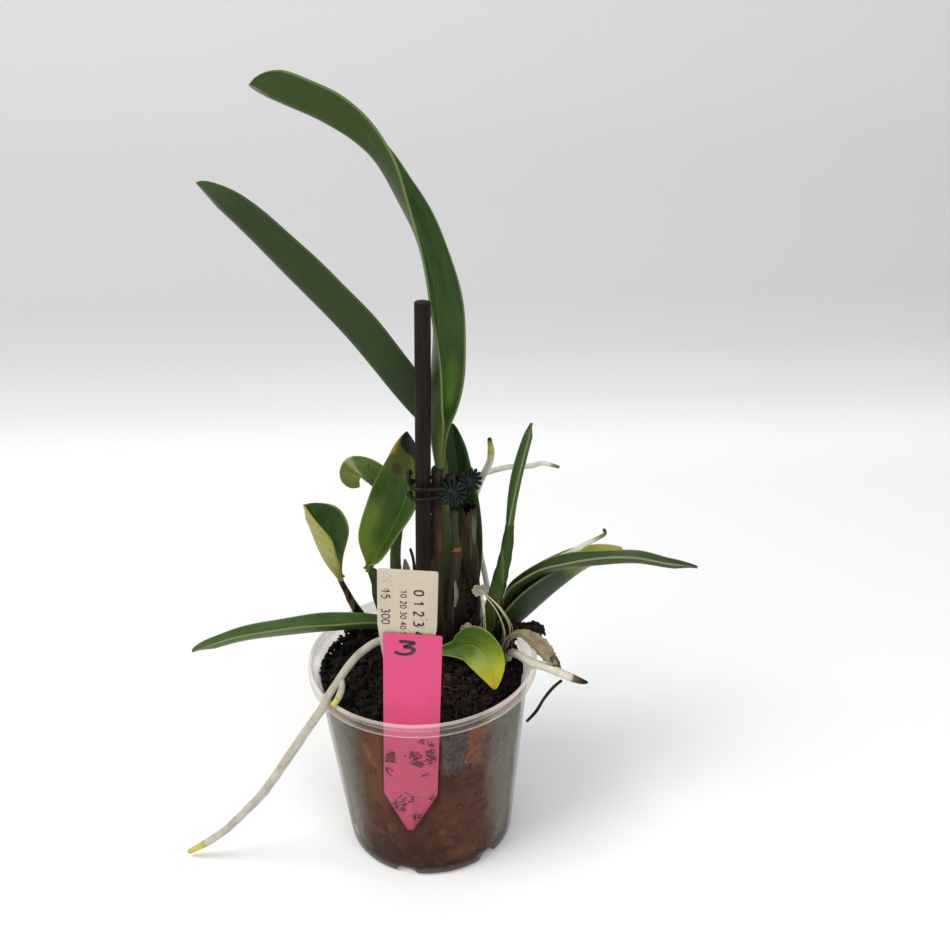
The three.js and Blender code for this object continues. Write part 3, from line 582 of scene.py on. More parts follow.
def pot_look():
    """Clear brownish plastic: painted grazing sheen on its sides and flanks, a milky lip with painted
    highlight lines on its edges, algae freckles, scratches.
    """
    look = Look("pot_plastic", 0.2, Specular_IOR_Level=0.4, Coat_Weight=0.15, Coat_Roughness=0.1)
    spot = look.spot()
    x, y, z = look.apart(spot)
    cloud = look.noise(spot, 0.09, 4.0)
    fine = look.noise(spot, 0.5, 6.0, 0.75)
    wander = look.sway(cloud, 9.0)
    x_soft = look.add(x, wander)
    scuffs = look.noise(look.stretch(spot, 1.3, 1.3, 0.16), 0.6, 5.0, 0.7)
    scuffed = look.between(scuffs, 0.56, 0.74)
    lip = look.between(z, SHOULDER - 0.9, SHOULDER + 0.1)
    # Painted highlights: bright lines along the top edge of the lip and along the step at its foot.
    painted_crest_highlight = look.between(z, POT_HEIGHT - 1.1, POT_HEIGHT - 0.5)
    step = look.below(look.math("ABSOLUTE", look.add(z, -SHOULDER - 0.5)), 0.3, 1.0)
    foot = look.below(look.add(z, wander), 1.0, 8.0)
    # Painted reflection: the grey milkiness the plastic shows at a grazing view, laid on its left and
    # right sides towards the front.
    left = look.below(x_soft, -29.0, -21.0)
    right = look.between(x_soft, 21.0, 28.0)
    painted_side_sheen = look.times(look.math("MAXIMUM", left, right), look.below(y, -8.0, 6.0))
    back = look.times(look.between(y, 2.0, 12.0), look.between(z, 64.0, 71.0))
    # Painted reflection: grey strips near the outline of the front wall, where it is seen at a grazing
    # angle.
    painted_flank_sheen = look.add(look.add(look.math("ABSOLUTE", x), look.times(z, -0.1)), look.times(wander, 0.25))
    painted_flank_sheen = look.times(look.between(painted_flank_sheen, 29.8, 31.8), look.below(z, SHOULDER - 2.0, SHOULDER - 0.5))
    painted_flank_sheen = look.times(painted_flank_sheen, look.below(look.add(y, wander), 0.0, 9.0))
    base = look.below(z, 2.4, 4.8)
    algae = look.times(look.between(fine, 0.5, 0.6), look.between(z, 50.0, 57.0))
    algae = look.times(algae, look.times(look.between(x, 6.0, 12.0), look.below(z, 70.0, 76.0)))
    specks = look.between(look.noise(spot, 1.1, 4.0, 0.7), 0.68, 0.74)
    scratch = look.noise(look.shift(look.stretch(spot, 0.9, 0.9, 0.1), 3, 5, 7), 1.6, 3.0, 0.6)
    scratch = look.times(look.between(scratch, 0.68, 0.72), look.inverse(back))

    look.colour = look.mix(cloud, (92, 66, 52), (120, 92, 74))
    look.lay(painted_side_sheen, look.mix(look.between(fine, 0.4, 0.6), (98, 92, 76), (146, 138, 118)))
    look.lay(back, (206, 200, 190))
    look.lay(foot, (84, 72, 54))
    look.lay(painted_flank_sheen, look.mix(look.between(fine, 0.4, 0.6), (96, 90, 76), (132, 126, 108)))
    look.lay(base, (70, 52, 38))
    look.lay(lip, (196, 178, 164))
    look.lay(look.math("MAXIMUM", painted_crest_highlight, step), (236, 224, 214))
    look.lay(algae, (44, 50, 54))
    look.lay(look.times(specks, look.inverse(back)), (52, 36, 28))
    look.lay(scratch, (196, 186, 172))

    facing = look.node("LayerWeight", {"Blend": 0.5}, output="Facing")
    alpha = look.add(look.times(look.math("POWER", facing, 3.0), 0.3), 0.04)
    for factor, amount in (
        (painted_side_sheen, 0.2), (back, 0.12), (lip, 0.08), (painted_crest_highlight, 0.24), (step, 0.18), (foot, 0.16),
        (painted_flank_sheen, 0.5), (base, 0.42), (algae, 0.45), (scuffed, 0.04), (specks, 0.2), (scratch, 0.12),
    ):
        alpha = look.add(alpha, look.times(factor, amount))
    look.set("Alpha", look.math("MINIMUM", alpha, 0.92))
    look.relief(scuffs, 0.02).relief(cloud, 0.2)
    return look.done(look.add(look.times(scuffed, 0.25), 0.16))


finished(notched(pot_mesh()), pot_look(), "pot", slot="pot")


# ---------------------------------------------------------------- potting mix

MIX_EDGE = 76.5
MIX_RADIUS = inner_radius(MIX_EDGE) - 0.9
MIX_FLOOR = FLOOR + 0.3


def mix_height(x, y):
    """The mix's surface: a mound about the cane, lower at the back, with bark lumps."""
    r = np.hypot(x, y)
    mound = 3.2 * np.exp(-((r / 24) ** 2))
    fall = np.clip((y - 6) / 34, 0, 1)
    drop = 6.5 * fall * fall * (3 - 2 * fall)
    lumps = 0.8 * np.sin(0.61 * x + 1.3) * np.cos(0.53 * y - 0.4)
    lumps += 0.7 * np.sin(0.9 * x - 0.75 * y) + 0.5 * np.cos(1.3 * y + 0.7 * x + 2)
    return MIX_EDGE + mound - drop + lumps * np.where(r < 38, 1, 0.5)


def crumb_noise(x, y, z):
    """Small uneven steps for crumbly surfaces, about -1..1."""
    total = np.sin(1.7 * x + 0.6 * np.sin(2.3 * y)) * np.cos(1.9 * y - 0.8 * z)
    total = total + 0.7 * np.sin(3.1 * y + 2.7 * z + 1.2 * np.sin(1.9 * x))
    return (total + 0.5 * np.sin(5.3 * x - 4.1 * y + 3.7 * z)) / 2.2


TAG_WIDTH = 20.4
TAG_THICK = 0.8
BEHIND_TAG = 1.35
PINK_TAG = (99.2, 20.3, (-6.9, -30.4, 21.6))
WHITE_TAG = (98.0, 74.0, (-7.1, -32.2, 49.7))
TAG_YAW = math.radians(-3.9)
TAG_TURN = (
    Matrix.Rotation(TAG_YAW, 4, "Z")
    @ Matrix.Rotation(math.atan(WALL_SLOPE) + math.radians(0.3), 4, "X")
    @ Matrix.Rotation(math.radians(4.0), 4, "Y")
)


def on_tag(points, length, point, at, margin):
    """Points in a label's own frame, and which of them face its outline grown by margin mm."""
    own = (points - np.array(at)) @ np.array(TAG_TURN.to_3x3())
    half = TAG_WIDTH / 2 * np.clip((own[:, 2] + margin) / point, 0.1, 1) + margin
    return own, (np.abs(own[:, 0]) < half) & (own[:, 2] > -margin) & (own[:, 2] < length)


def behind_tag(points, length, point, at):
    """Draws points back behind a label that lies flat inside the round wall."""
    own, covered = on_tag(points, length, point, at, 0.8)
    own[:, 1] = np.where(covered & (own[:, 1] < BEHIND_TAG), BEHIND_TAG, own[:, 1])
    return own @ np.array(TAG_TURN.to_3x3()).T + np.array(at)


def mix_mesh():
    sides, rings = 320, 46
    heights = np.linspace(MIX_FLOOR, 71, 56)
    profile = [(0.02, MIX_FLOOR)] + [(inner_radius(z) - 0.9, z) for z in heights]
    profile += [(MIX_RADIUS - 0.3, 72.6), (MIX_RADIUS - 0.6, 74.2)]
    profile += [(max(MIX_RADIUS * k / rings, 0.02), MIX_EDGE) for k in range(rings, -1, -1)]
    points, faces, _ = turned(np.array(profile), sides)
    x, y, z = points.T
    radius = np.hypot(x, y)
    on_top = np.abs(z - MIX_EDGE) < 0.01
    rough = crumb_noise(x, y, z)
    points[:, 2] = np.where(on_top, mix_height(x, y) - 0.9 + 0.7 * rough, z)
    on_wall = (z > MIX_FLOOR + 0.5) & ~on_top
    inward = np.where(on_wall, 1 - (0.35 + 0.3 * rough) / np.maximum(radius, 1), 1)
    points[:, 0] *= inward
    points[:, 1] *= inward
    for length, point, at in (PINK_TAG, WHITE_TAG):
        points = behind_tag(points, length, point, at)
    return mesh_object("mix_bed", points, faces)


def solid_ball(detail):
    """The points and faces of a unit ball of triangles, as a numpy pair."""
    ball = bmesh.new()
    bmesh.ops.create_icosphere(ball, subdivisions=detail, radius=1.0)
    points = np.array([vertex.co[:] for vertex in ball.verts])
    faces = np.array([[vertex.index for vertex in face.verts] for face in ball.faces])
    ball.free()
    return points, faces


def turns(random, count):
    """Random rotation matrices."""
    quat = unit(random.normal(size=(count, 4)))
    w, x, y, z = quat.T
    rows = [
        [1 - 2 * (y * y + z * z), 2 * (x * y - z * w), 2 * (x * z + y * w)],
        [2 * (x * y + z * w), 1 - 2 * (x * x + z * z), 2 * (y * z - x * w)],
        [2 * (x * z - y * w), 2 * (y * z + x * w), 1 - 2 * (x * x + y * y)],
    ]
    return np.moveaxis(np.array(rows), 2, 0)


def scattered(name, random, centres, sizes, rotations, detail, jag, tone):
    """Irregular chips in one mesh. The mark chip holds each one's tone and a random kind."""
    ball, faces = solid_ball(detail)
    count = len(centres)
    lumpy = 1 + jag * random.uniform(-1, 1, (count, len(ball), 1))
    points = ball[None] * lumpy * sizes[:, None]
    points = np.einsum("nij,nkj->nki", rotations, points) + centres[:, None]
    offsets = (np.arange(count) * len(ball))[:, None, None]
    all_faces = (faces[None] + offsets).reshape(-1, 3)
    kind = random.uniform(0, 1, count)
    marks = np.stack([tone, kind, np.zeros(count)], 1).repeat(len(ball), axis=0)
    return mesh_object(name, points.reshape(-1, 3), all_faces, {"chip": marks})


TAGS_MIDDLE = (-6.0, -36.6)
TAGS_HALF_WIDTH = 11
TAGS_DEPTH = 3.2


def keeps_off(x, y, clearance=0.0):
    """False for places taken up by the two labels at the front wall."""
    x, y = x - TAGS_MIDDLE[0], y - TAGS_MIDDLE[1]
    sideways = x * math.cos(TAG_YAW) + y * math.sin(TAG_YAW)
    depth = -x * math.sin(TAG_YAW) + y * math.cos(TAG_YAW)
    return (np.abs(sideways) > TAGS_HALF_WIDTH + clearance) | (depth > TAGS_DEPTH + clearance)


def mix_top(random, count, reach):
    """Random places on the mix's surface, clear of the labels."""
    radius = reach * np.sqrt(random.uniform(0, 1, count * 2))
    angle = random.uniform(0, TURN, count * 2)
    x, y = radius * np.cos(angle), radius * np.sin(angle)
    keep = keeps_off(x, y)
    x, y = x[keep][:count], y[keep][:count]
    return np.stack([x, y, mix_height(x, y)], 1)


def lying(random, count, tilt):
    """Rotations that leave a chip's third axis nearly upright."""
    spin = random.uniform(0, TURN, count)
    lean = random.normal(0, tilt, (count, 2))
    made = []
    for turn, (lean_x, lean_y) in zip(spin, lean):
        leant = Matrix.Rotation(lean_x, 3, "X") @ Matrix.Rotation(lean_y, 3, "Y")
        made.append(np.array(leant @ Matrix.Rotation(turn, 3, "Z")))
    return np.array(made)


def earth_look(name, dark, brown, red, tan):
    """Damp bark and peat: each chip its own brown, streaked, some with an olive film."""
    look = Look(name, 0.8, Specular_IOR_Level=0.2)
    tone, kind, _, _ = look.mark("chip")
    spot = look.spot()
    fine = look.noise(spot, 1.1, 5.0, 0.7)
    broad = look.noise(spot, 0.11, 3.0)
    look.colour = look.ramp(tone, [(0.0, dark), (0.55, brown), (0.82, red), (1.0, tan)])
    look.lay(look.between(kind, 0.72, 0.9), (58, 56, 34), 0.6)
    look.colour = look.mix(look.between(fine, 0.35, 0.7), dark, look.colour)
    look.lay(look.between(broad, 0.5, 0.72), dark, 0.5)
    look.relief(fine, 0.5).relief(look.cells(spot, 1.4), 0.35)
    wet = look.between(look.noise(spot, 0.35, 2.0), 0.45, 0.7)
    return look.done(look.add(look.times(wet, -0.25), 0.85))


def wall_zones(look, spot, fine):
    """The mix's colours where it lies against the pot: rusty in front, and grey-brown at its sides as
    painted grazing sheen.
    """
    x, y, z = look.apart(spot)
    broad = look.noise(spot, 0.07, 4.0, 0.6, 0.6)
    wander = look.sway(broad, 16.0)
    x_soft, z_soft = look.add(x, wander), look.add(z, wander)
    look.colour = look.mix(look.between(broad, 0.36, 0.62), (60, 33, 23), (85, 47, 32))
    look.lay(look.below(z_soft, 6.0, 26.0), (52, 28, 18))
    red = look.band(x_soft, 8.0, 12.0, 21.0, 25.0)
    red = look.times(red, look.below(z_soft, 46.0, 56.0))
    look.lay(red, (80, 44, 33), 0.75)
    high = look.times(look.between(z_soft, 50.0, 58.0), look.between(x, 5.0, 9.0))
    look.lay(high, look.mix(look.between(fine, 0.4, 0.6), (88, 84, 80), (62, 56, 54)))
    rust = look.band(x_soft, 14.5, 17.0, 21.0, 24.0)
    look.lay(look.times(rust, look.between(z, 50.0, 58.0)), (136, 76, 48))
    slope = look.math("ABSOLUTE", look.add(x, look.add(look.times(z, 0.3), 2.5)))
    streak = look.below(look.add(slope, look.times(fine, 1.4)), 1.0, 2.6)
    streak = look.times(streak, look.band(z, 50.0, 56.0, 62.0, 70.0))
    look.lay(streak, (196, 112, 62))
    warm = look.band(x_soft, -26.0, -22.0, -16.0, -12.0)
    warm = look.times(warm, look.between(z_soft, 28.0, 44.0))
    look.lay(warm, (108, 64, 43), 0.8)
    ochre = look.below(look.math("ABSOLUTE", look.add(z_soft, -9.0)), 1.5, 5.0)
    ochre = look.times(ochre, look.band(x, 0.0, 8.0, 16.0, 24.0))
    ochre = look.times(ochre, look.between(fine, 0.42, 0.56))
    look.lay(ochre, (118, 76, 40), 0.5)
    # Painted reflection: grey-brown at the left and right sides, the pot's grazing milkiness laid on the
    # mix.
    sides = look.math("MAXIMUM", look.below(x_soft, -27.0, -21.0), look.between(x_soft, 22.0, 26.0))
    look.lay(sides, look.mix(look.between(fine, 0.35, 0.65), (58, 52, 41), (102, 90, 75)))
    rear = look.mix(
        look.between(look.add(broad, look.sway(fine, 0.5)), 0.4, 0.62), (44, 30, 22), (88, 60, 42),
    )
    rear = look.mix(look.times(look.between(fine, 0.55, 0.7), 0.6), rear, (98, 92, 76))
    look.lay(look.between(y, -14.0, 2.0), rear)


def bed_look():
    """The mix as a mass: black-brown on top, and damp peat against the wall."""
    look = Look("mix_mass", 0.85, Specular_IOR_Level=0.12)
    spot = look.spot()
    _, _, z = look.apart(spot)
    fine = look.noise(spot, 0.7, 6.0, 0.7)
    wall_zones(look, spot, fine)
    look.lay(look.between(fine, 0.54, 0.7), (34, 22, 18), 0.5)
    specks = look.between(look.noise(spot, 1.3, 4.0, 0.75), 0.64, 0.7)
    look.lay(specks, (26, 17, 14), 0.6)
    top = look.between(z, 71.5, 74.0)
    look.lay(top, look.mix(fine, (13, 10, 8), (36, 28, 22)))
    look.relief(look.times(fine, top), 0.5).relief(look.noise(spot, 0.5, 2.0), 0.3)
    return look.done()


def pressed_look():
    """Bark chips against the wall: the peat's colour there, a little lighter or darker chip by chip."""
    look = Look("mix_pressed", 0.85, Specular_IOR_Level=0.12)
    tone, kind, _, _ = look.mark("chip")
    spot = look.spot()
    fine = look.noise(spot, 0.9, 6.0, 0.72)
    broken = look.noise(spot, 0.5, 2.0)
    wall_zones(look, spot, fine)
    look.lay(look.between(tone, 0.4, 0.0), (40, 27, 21), 0.4)
    look.lay(look.between(tone, 0.6, 1.0), (128, 88, 60), 0.28)
    look.lay(look.between(kind, 0.8, 0.9), (66, 62, 44), 0.3)
    look.lay(look.between(fine, 0.54, 0.68), (34, 22, 18), 0.55)
    look.relief(broken, 0.3)
    return look.done()


def dress_mix_top(random, bark):
    """Slivers, chunks and crumbs on the mix's surface, rougher along its left edge."""
    centres = mix_top(random, 1250, MIX_RADIUS - 2.8)
    x, y = centres.T[:2]
    count = len(centres)
    rough = np.clip(np.hypot(x, y) / MIX_RADIUS * 2 - 1, 0, 1) * (x < 8)
    centres[:, 2] += random.uniform(-0.9, 0.5, count) + rough * random.uniform(0, 1.6, count)
    length = random.uniform(0.9, 2.2, count) * (1 + 0.5 * rough)
    length[::5] *= 1.5
    sizes = np.stack([length, random.uniform(0.5, 1.2, count), random.uniform(0.3, 0.7, count)], 1)
    front_right = (x > 2) & (y < 2)
    tone = random.uniform(0, 0.5, count) + np.where(front_right, 0.35, 0) * random.uniform(0, 1, count)
    slivers = scattered(
        "mix_slivers", random, centres, sizes, lying(random, count, 0.45), 2, 0.22, tone,
    )
    finished(slivers, bark, slot="potting_mix")

    centres = mix_top(random, 320, MIX_RADIUS - 4.0)
    x, y = centres.T[:2]
    count = len(centres)
    rough = np.clip(np.hypot(x, y) / MIX_RADIUS * 2 - 1, 0, 1) * (x < 8)
    centres[:, 2] += random.uniform(-0.4, 0.9, count) + rough * random.uniform(0, 1.2, count)
    sizes = np.stack(
        [random.uniform(low, high, count) for low, high in ((1.4, 2.6), (1.0, 1.9), (0.6, 1.3))], 1,
    )
    front_right = (x > 4) & (y < 0)
    tone = random.uniform(0.05, 0.5, count)
    tone = tone + np.where(front_right, 0.5, 0.1) * random.uniform(0, 1, count)
    chunks = scattered("mix_chunks", random, centres, sizes, lying(random, count, 0.7), 2, 0.3, tone)
    finished(chunks, bark, slot="potting_mix")

    centres = mix_top(random, 3600, MIX_RADIUS - 1.2)
    centres[:, 2] += random.uniform(-1.0, 0.6, len(centres))
    dress_crumbs("mix_crumbs", random, centres, (0.35, 1.0), bark)


def dress_crumbs(name, random, centres, size, bark):
    """Small crumbs at given places, mostly dark ones."""
    count = len(centres)
    sizes = random.uniform(*size, (count, 1)) * random.uniform(0.6, 1.3, (count, 3))
    tone = random.uniform(0, 1, count) ** 2.2
    crumbs = scattered(name, random, centres, sizes, turns(random, count), 1, 0.3, tone)
    finished(crumbs, bark, slot="potting_mix")


WALL_CHIPS = 900
EDGE_CRUMBS = 520
EDGE_LOW = 73.0
EDGE_RISE = 5.6
EDGE_FROM = math.radians(118)
EDGE_TO = math.radians(226)


def dress_wall(random, bark):
    """Chips against the pot's wall, clear of the labels, and crumbs stuck above the mix at its left."""
    count = WALL_CHIPS
    z = random.uniform(MIX_FLOOR + 2, 71, count)
    angle = random.uniform(0, TURN, count)
    centres = about_axis(inner_radius(z) - 1.1, angle, z)
    sizes = np.stack(
        [np.full(count, 0.45), random.uniform(0.8, 2.6, count), random.uniform(0.8, 3.0, count)], 1,
    )
    spin = []
    for facing in angle:
        roll = Matrix.Rotation(random.uniform(0, TURN), 3, "X")
        spin.append(np.array(Matrix.Rotation(facing, 3, "Z") @ roll))
    tone = random.uniform(0, 1, count)
    covered = np.zeros(count, bool)
    for tag in (PINK_TAG, WHITE_TAG):
        covered |= on_tag(centres, *tag, 3.2)[1]
    keep = ~(covered & (centres[:, 1] < 0))
    wall = scattered(
        "mix_wall_bark", random, centres[keep], sizes[keep], np.array(spin)[keep], 2, 0.2, tone[keep],
    )
    finished(wall, pressed_look(), slot="potting_mix")

    count = EDGE_CRUMBS
    z = EDGE_LOW + EDGE_RISE * random.uniform(0, 1, count) ** 1.5
    angle = random.uniform(EDGE_FROM, EDGE_TO, count)
    radius = inner_radius(z) - random.uniform(0.5, 1.3, count)
    dress_crumbs("mix_edge", random, about_axis(radius, angle, z), (0.45, 1.2), bark)


def fibre_rows(random, x, y):
    """A short bent fibre lying on the mix about x, y, kept inside the pot."""
    heading = random.uniform(0, TURN)
    length = random.uniform(2.5, 8.0)
    bend = random.uniform(-0.5, 0.5)
    limit = MIX_RADIUS - 2
    rows = []
    for share in (-0.5, 0, 0.5):
        side = bend * length * (share * share)
        px = x + length * share * math.cos(heading) - side * math.sin(heading)
        py = y + length * share * math.sin(heading) + side * math.cos(heading)
        reach = math.hypot(px, py)
        if reach > limit:
            px, py = px * limit / reach, py * limit / reach
        rows.append((px, py, float(mix_height(px, py)) + 0.75 + random.uniform(-0.2, 0.9), 0.16))
    return rows


def dress_fibres(random):
    """Fibres on the mix, two in three of them at its right."""
    parts = []
    for k in range(90):
        angle = random.uniform(-1.2, 0.5) if k % 3 > 0 else random.uniform(0, TURN)
        reach = random.uniform(12, MIX_RADIUS - 6)
        x, y = reach * math.cos(angle), reach * math.sin(angle)
        if not keeps_off(x, y, 3):
            continue
        points, faces, _ = tube(fibre_rows(random, x, y), sides=6, pitch=0.8)
        chip = np.tile([random.uniform(0.6, 1.0), random.uniform(0, 1), 0], (len(points), 1))
        parts.append((points, faces, {"chip": chip}))
    straw = earth_look("mix_straw", (40, 26, 18), (84, 54, 36), (108, 68, 44), (150, 118, 84))
    piece("mix_fibres", parts, straw, slot="potting_mix")


def dress_mix():
    random = np.random.default_rng(41)
    finished(mix_mesh(), bed_look(), "potting_mix", slot="potting_mix")
    bark = earth_look("mix_bark", (14, 11, 9), (40, 31, 23), (78, 46, 30), (122, 90, 58))
    dress_mix_top(random, bark)
    dress_wall(random, bark)
    dress_fibres(random)


dress_mix()


# ---------------------------------------------------------------- cane

CANE_ROWS = [(-2.2, 0, 24, 2.8), (6.5, 0, 225, 2.8)]
CANE_JOINT = 96
CANE_CUT = 201.15


def cane_shape(turn, along, share):
    ribs = 0.012 * np.sin(turn * TURN * 9) + 0.008 * np.sin(turn * TURN * 17 + 1)
    joint = 0.035 * np.exp(-(((along - CANE_JOINT) / 1.2) ** 2))
    return 1 + ribs + joint


def cane_look():
    look = Look("bamboo", 0.5, Specular_IOR_Level=0.12)
    grain, place = look.mark("grain"), look.mark("place")
    lines = look.noise(look.stretch(grain[3], 2.6, 2.6, 0.05), 1.0, 5.0, 0.65)
    broad = look.noise(look.stretch(grain[3], 0.5, 0.5, 0.03), 1.0, 2.0)
    look.colour = look.ramp(
        lines, [(0.28, (12, 7, 5)), (0.5, (25, 16, 12)), (0.64, (44, 31, 21)), (0.78, (80, 58, 38))],
    )
    look.lay(look.between(broad, 0.45, 0.65), (26, 18, 13), 0.5)
    scar = look.below(look.math("ABSOLUTE", look.add(place[1], -CANE_JOINT)), 0.4, 1.4)
    look.lay(scar, (70, 56, 42), 0.5)
    low = look.below(place[1], 60, 84)
    look.lay(low, (30, 20, 17), 0.5)
    cut = look.between(place[1], CANE_CUT, CANE_CUT + 0.15)
    look.lay(cut, (84, 66, 52))
    look.relief(lines, 0.3)
    return look.done(look.add(look.times(lines, 0.3), 0.35))


cane = tube(CANE_ROWS, sides=48, pitch=1.2, ends=(0.12, 0.12), shape=cane_shape)
piece("bamboo_cane", [cane], cane_look(), "cane", slot="cane")


# ---------------------------------------------------------------- labels


def rounded_outline(corners, radii, steps=5):
    """A closed outline with each corner rounded to its own radius."""
    corners = [np.array(corner, float) for corner in corners]
    outline = []
    for k, corner in enumerate(corners):
        before, after = corners[k - 1], corners[(k + 1) % len(corners)]
        start = corner + unit(before - corner) * radii[k]
        end = corner + unit(after - corner) * radii[k]
        outline += bent(start, corner, end, steps)
    return np.array(outline)


def tag_mesh(name, length, point, at):
    """A plant tag: a thin plate with softened edges, pointed at its foot."""
    half = TAG_WIDTH / 2
    corners = [(-1.2, 0), (1.2, 0), (half, point), (half, length), (-half, length), (-half, point)]
    outline = rounded_outline(corners, [0.5, 0.5, 1.5, 0.9, 0.9, 1.5])
    centre = outline.mean(0)
    rings = []
    near = [(0.14, 0.0), (0.04, 0.04), (0.0, 0.14)]
    for inset, depth in near + [(inset, TAG_THICK - depth) for inset, depth in near[::-1]]:
        reach = np.linalg.norm(outline - centre, axis=1, keepdims=True)
        ring = centre + (outline - centre) * (1 - inset / reach)
        rings.append(np.stack([ring[:, 0], np.full(len(ring), depth), ring[:, 1]], 1))
    rings = np.array(rings)
    points, faces, _ = skin(rings, {})
    move = Matrix.Translation(Vector(at)) @ TAG_TURN
    made = mesh_object(name, placed_at(move, points), faces, {"label": points}, sharp=40)
    return made, move


def tag_look(name, base, shade, patches, foot, spotting=0.5):
    """Satin plastic with marks. patches are soiled ovals: x, z, half width, half height, amount."""
    look = Look(
        name, 0.42, Specular_IOR_Level=0.3, Subsurface_Weight=0.1, Subsurface_Radius=(1.0, 0.8, 0.8),
        Subsurface_Scale=0.0006,
    )
    x, _, z, place = look.mark("label")
    cloud = look.noise(place, 0.12, 4.0, 0.6)
    scuff = look.noise(look.stretch(place, 1.0, 1.0, 0.35), 0.8, 6.0, 0.75)
    clods = look.noise(look.shift(place, 5, 0, 9), 0.62, 6.0, 0.74)
    look.colour = look.mix(cloud, base, shade)
    look.lay(look.between(scuff, 0.6, 0.75), (120, 100, 84), 0.2)
    film = look.times(look.below(z, 46.0, 54.0), foot)
    look.lay(look.times(film, look.between(cloud, 0.3, 0.6)), (182, 92, 96))
    specks = look.between(look.noise(place, 1.5, 3.0, 0.6), 0.74, 0.77)
    dirt = look.times(specks, spotting)
    crumbs = look.between(look.noise(look.stretch(place, 1.0, 1.0, 0.8), 1.25, 4.0, 0.75), 0.6, 0.64)
    crumbs = look.times(crumbs, look.times(look.below(z, 38.0, 50.0), foot))
    dirt = look.math("MAXIMUM", dirt, look.times(crumbs, 1.5))
    for *oval, amount in patches:
        inside = look.below(look.oval(x, z, *oval), 0.3, 1.1)
        low = look.add(look.times(inside, -0.16 * amount), 0.64)
        clod = look.math("GREATER_THAN", clods, low)
        dirt = look.math("MAXIMUM", dirt, look.times(clod, look.between(inside, 0.02, 0.2)))
    dirt = look.math("MINIMUM", dirt, 1.0)
    look.lay(dirt, look.mix(scuff, (30, 22, 18), (84, 56, 40)), 0.85)
    look.relief(scuff, 0.02).relief(dirt, 0.2)
    return look.done(look.add(look.times(dirt, 0.4), 0.4))


STROKE_STEP = 0.25


def ink_stroke(points, radius):
    """A flat pen stroke on a label's face, along (x, z) points of the label."""
    fine, lengths = measured([(x, z, 0) for x, z in points], 200)
    count = max(6, int(lengths[-1] / STROKE_STEP))
    row = read_at(fine, lengths, np.linspace(0, lengths[-1], count))[:, :2]
    forward = unit(np.gradient(row, axis=0))
    side = np.stack([-forward[:, 1], forward[:, 0]], 1)
    width = radius * (1 + 0.12 * np.sin(np.linspace(0, 7, count)))[:, None]
    steps_in = np.minimum(np.arange(count), count - 1 - np.arange(count))
    left_out = 1 - np.clip(steps_in * STROKE_STEP / radius + 0.15, 0, 1)
    ends = np.sqrt(np.clip(1 - left_out**2, 0.02, 1))[:, None]
    left, right = row + side * width * ends, row - side * width * ends
    ring = []
    for depth in (-0.03, 0.05):
        for edge in (left, right):
            ring.append(np.stack([edge[:, 0], np.full(count, depth), edge[:, 1]], 1))
    lower_left, lower_right, upper_left, upper_right = ring
    rings = np.stack([lower_left, lower_right, upper_right, upper_left], 1)
    return skin(rings, {})


def ink_look():
    look = Look("ink", 0.4)
    look.colour = look.mix(look.noise(look.spot(), 1.5, 3.0), (18, 16, 20), (44, 36, 46))
    return look.done()


# Pen strokes of plain digits, 1 wide and 1.6 tall.
DIGITS = {
    "0": [[(0.5, 1.6), (0.05, 1.25), (0.05, 0.35), (0.5, 0.0), (0.95, 0.35), (0.95, 1.25), (0.5, 1.6)]],
    "1": [[(0.15, 1.2), (0.4, 1.4), (0.6, 1.6)], [(0.6, 1.6), (0.6, 0.8), (0.6, 0.0)]],
    "2": [
        [(0.05, 1.2), (0.3, 1.58), (0.8, 1.5), (0.88, 1.05), (0.5, 0.55), (0.05, 0.0)],
        [(0.05, 0.0), (0.5, 0.0), (0.95, 0.0)],
    ],
    "3": [
        [(0.1, 1.5), (0.5, 1.62), (0.88, 1.25), (0.4, 0.88)],
        [(0.4, 0.88), (0.92, 0.62), (0.8, 0.1), (0.4, 0.0), (0.05, 0.15)],
    ],
    "4": [
        [(0.72, 0.0), (0.72, 0.8), (0.72, 1.6)], [(0.72, 1.6), (0.36, 1.0), (0.0, 0.5)],
        [(0.0, 0.5), (0.5, 0.5), (1.0, 0.5)],
    ],
    "5": [[(0.88, 1.6), (0.5, 1.6), (0.15, 1.6)], [(0.15, 1.6), (0.12, 1.25), (0.1, 0.92)],
          [(0.1, 0.92), (0.6, 1.02), (0.93, 0.55), (0.55, 0.0), (0.05, 0.15)]],
}


def printed(text, x, z, size, thick):
    """Digits that read down a label, their tops to the right, the first at x, z."""
    strokes = []
    for letter in text:
        for stroke in DIGITS.get(letter, []):
            strokes.append(ink_stroke([(x + up * size, z - side * size) for side, up in stroke], thick))
        z -= size * 1.45 if letter != " " else size * 0.8
    return strokes


def inked(name, strokes, move, ink, slot):
    points, faces, _ = merged(strokes)
    return finished(mesh_object(name, placed_at(move, points), faces), ink, slot=slot)


def placed_at(move, points):
    return np.array([(move @ Vector(point))[:] for point in points])


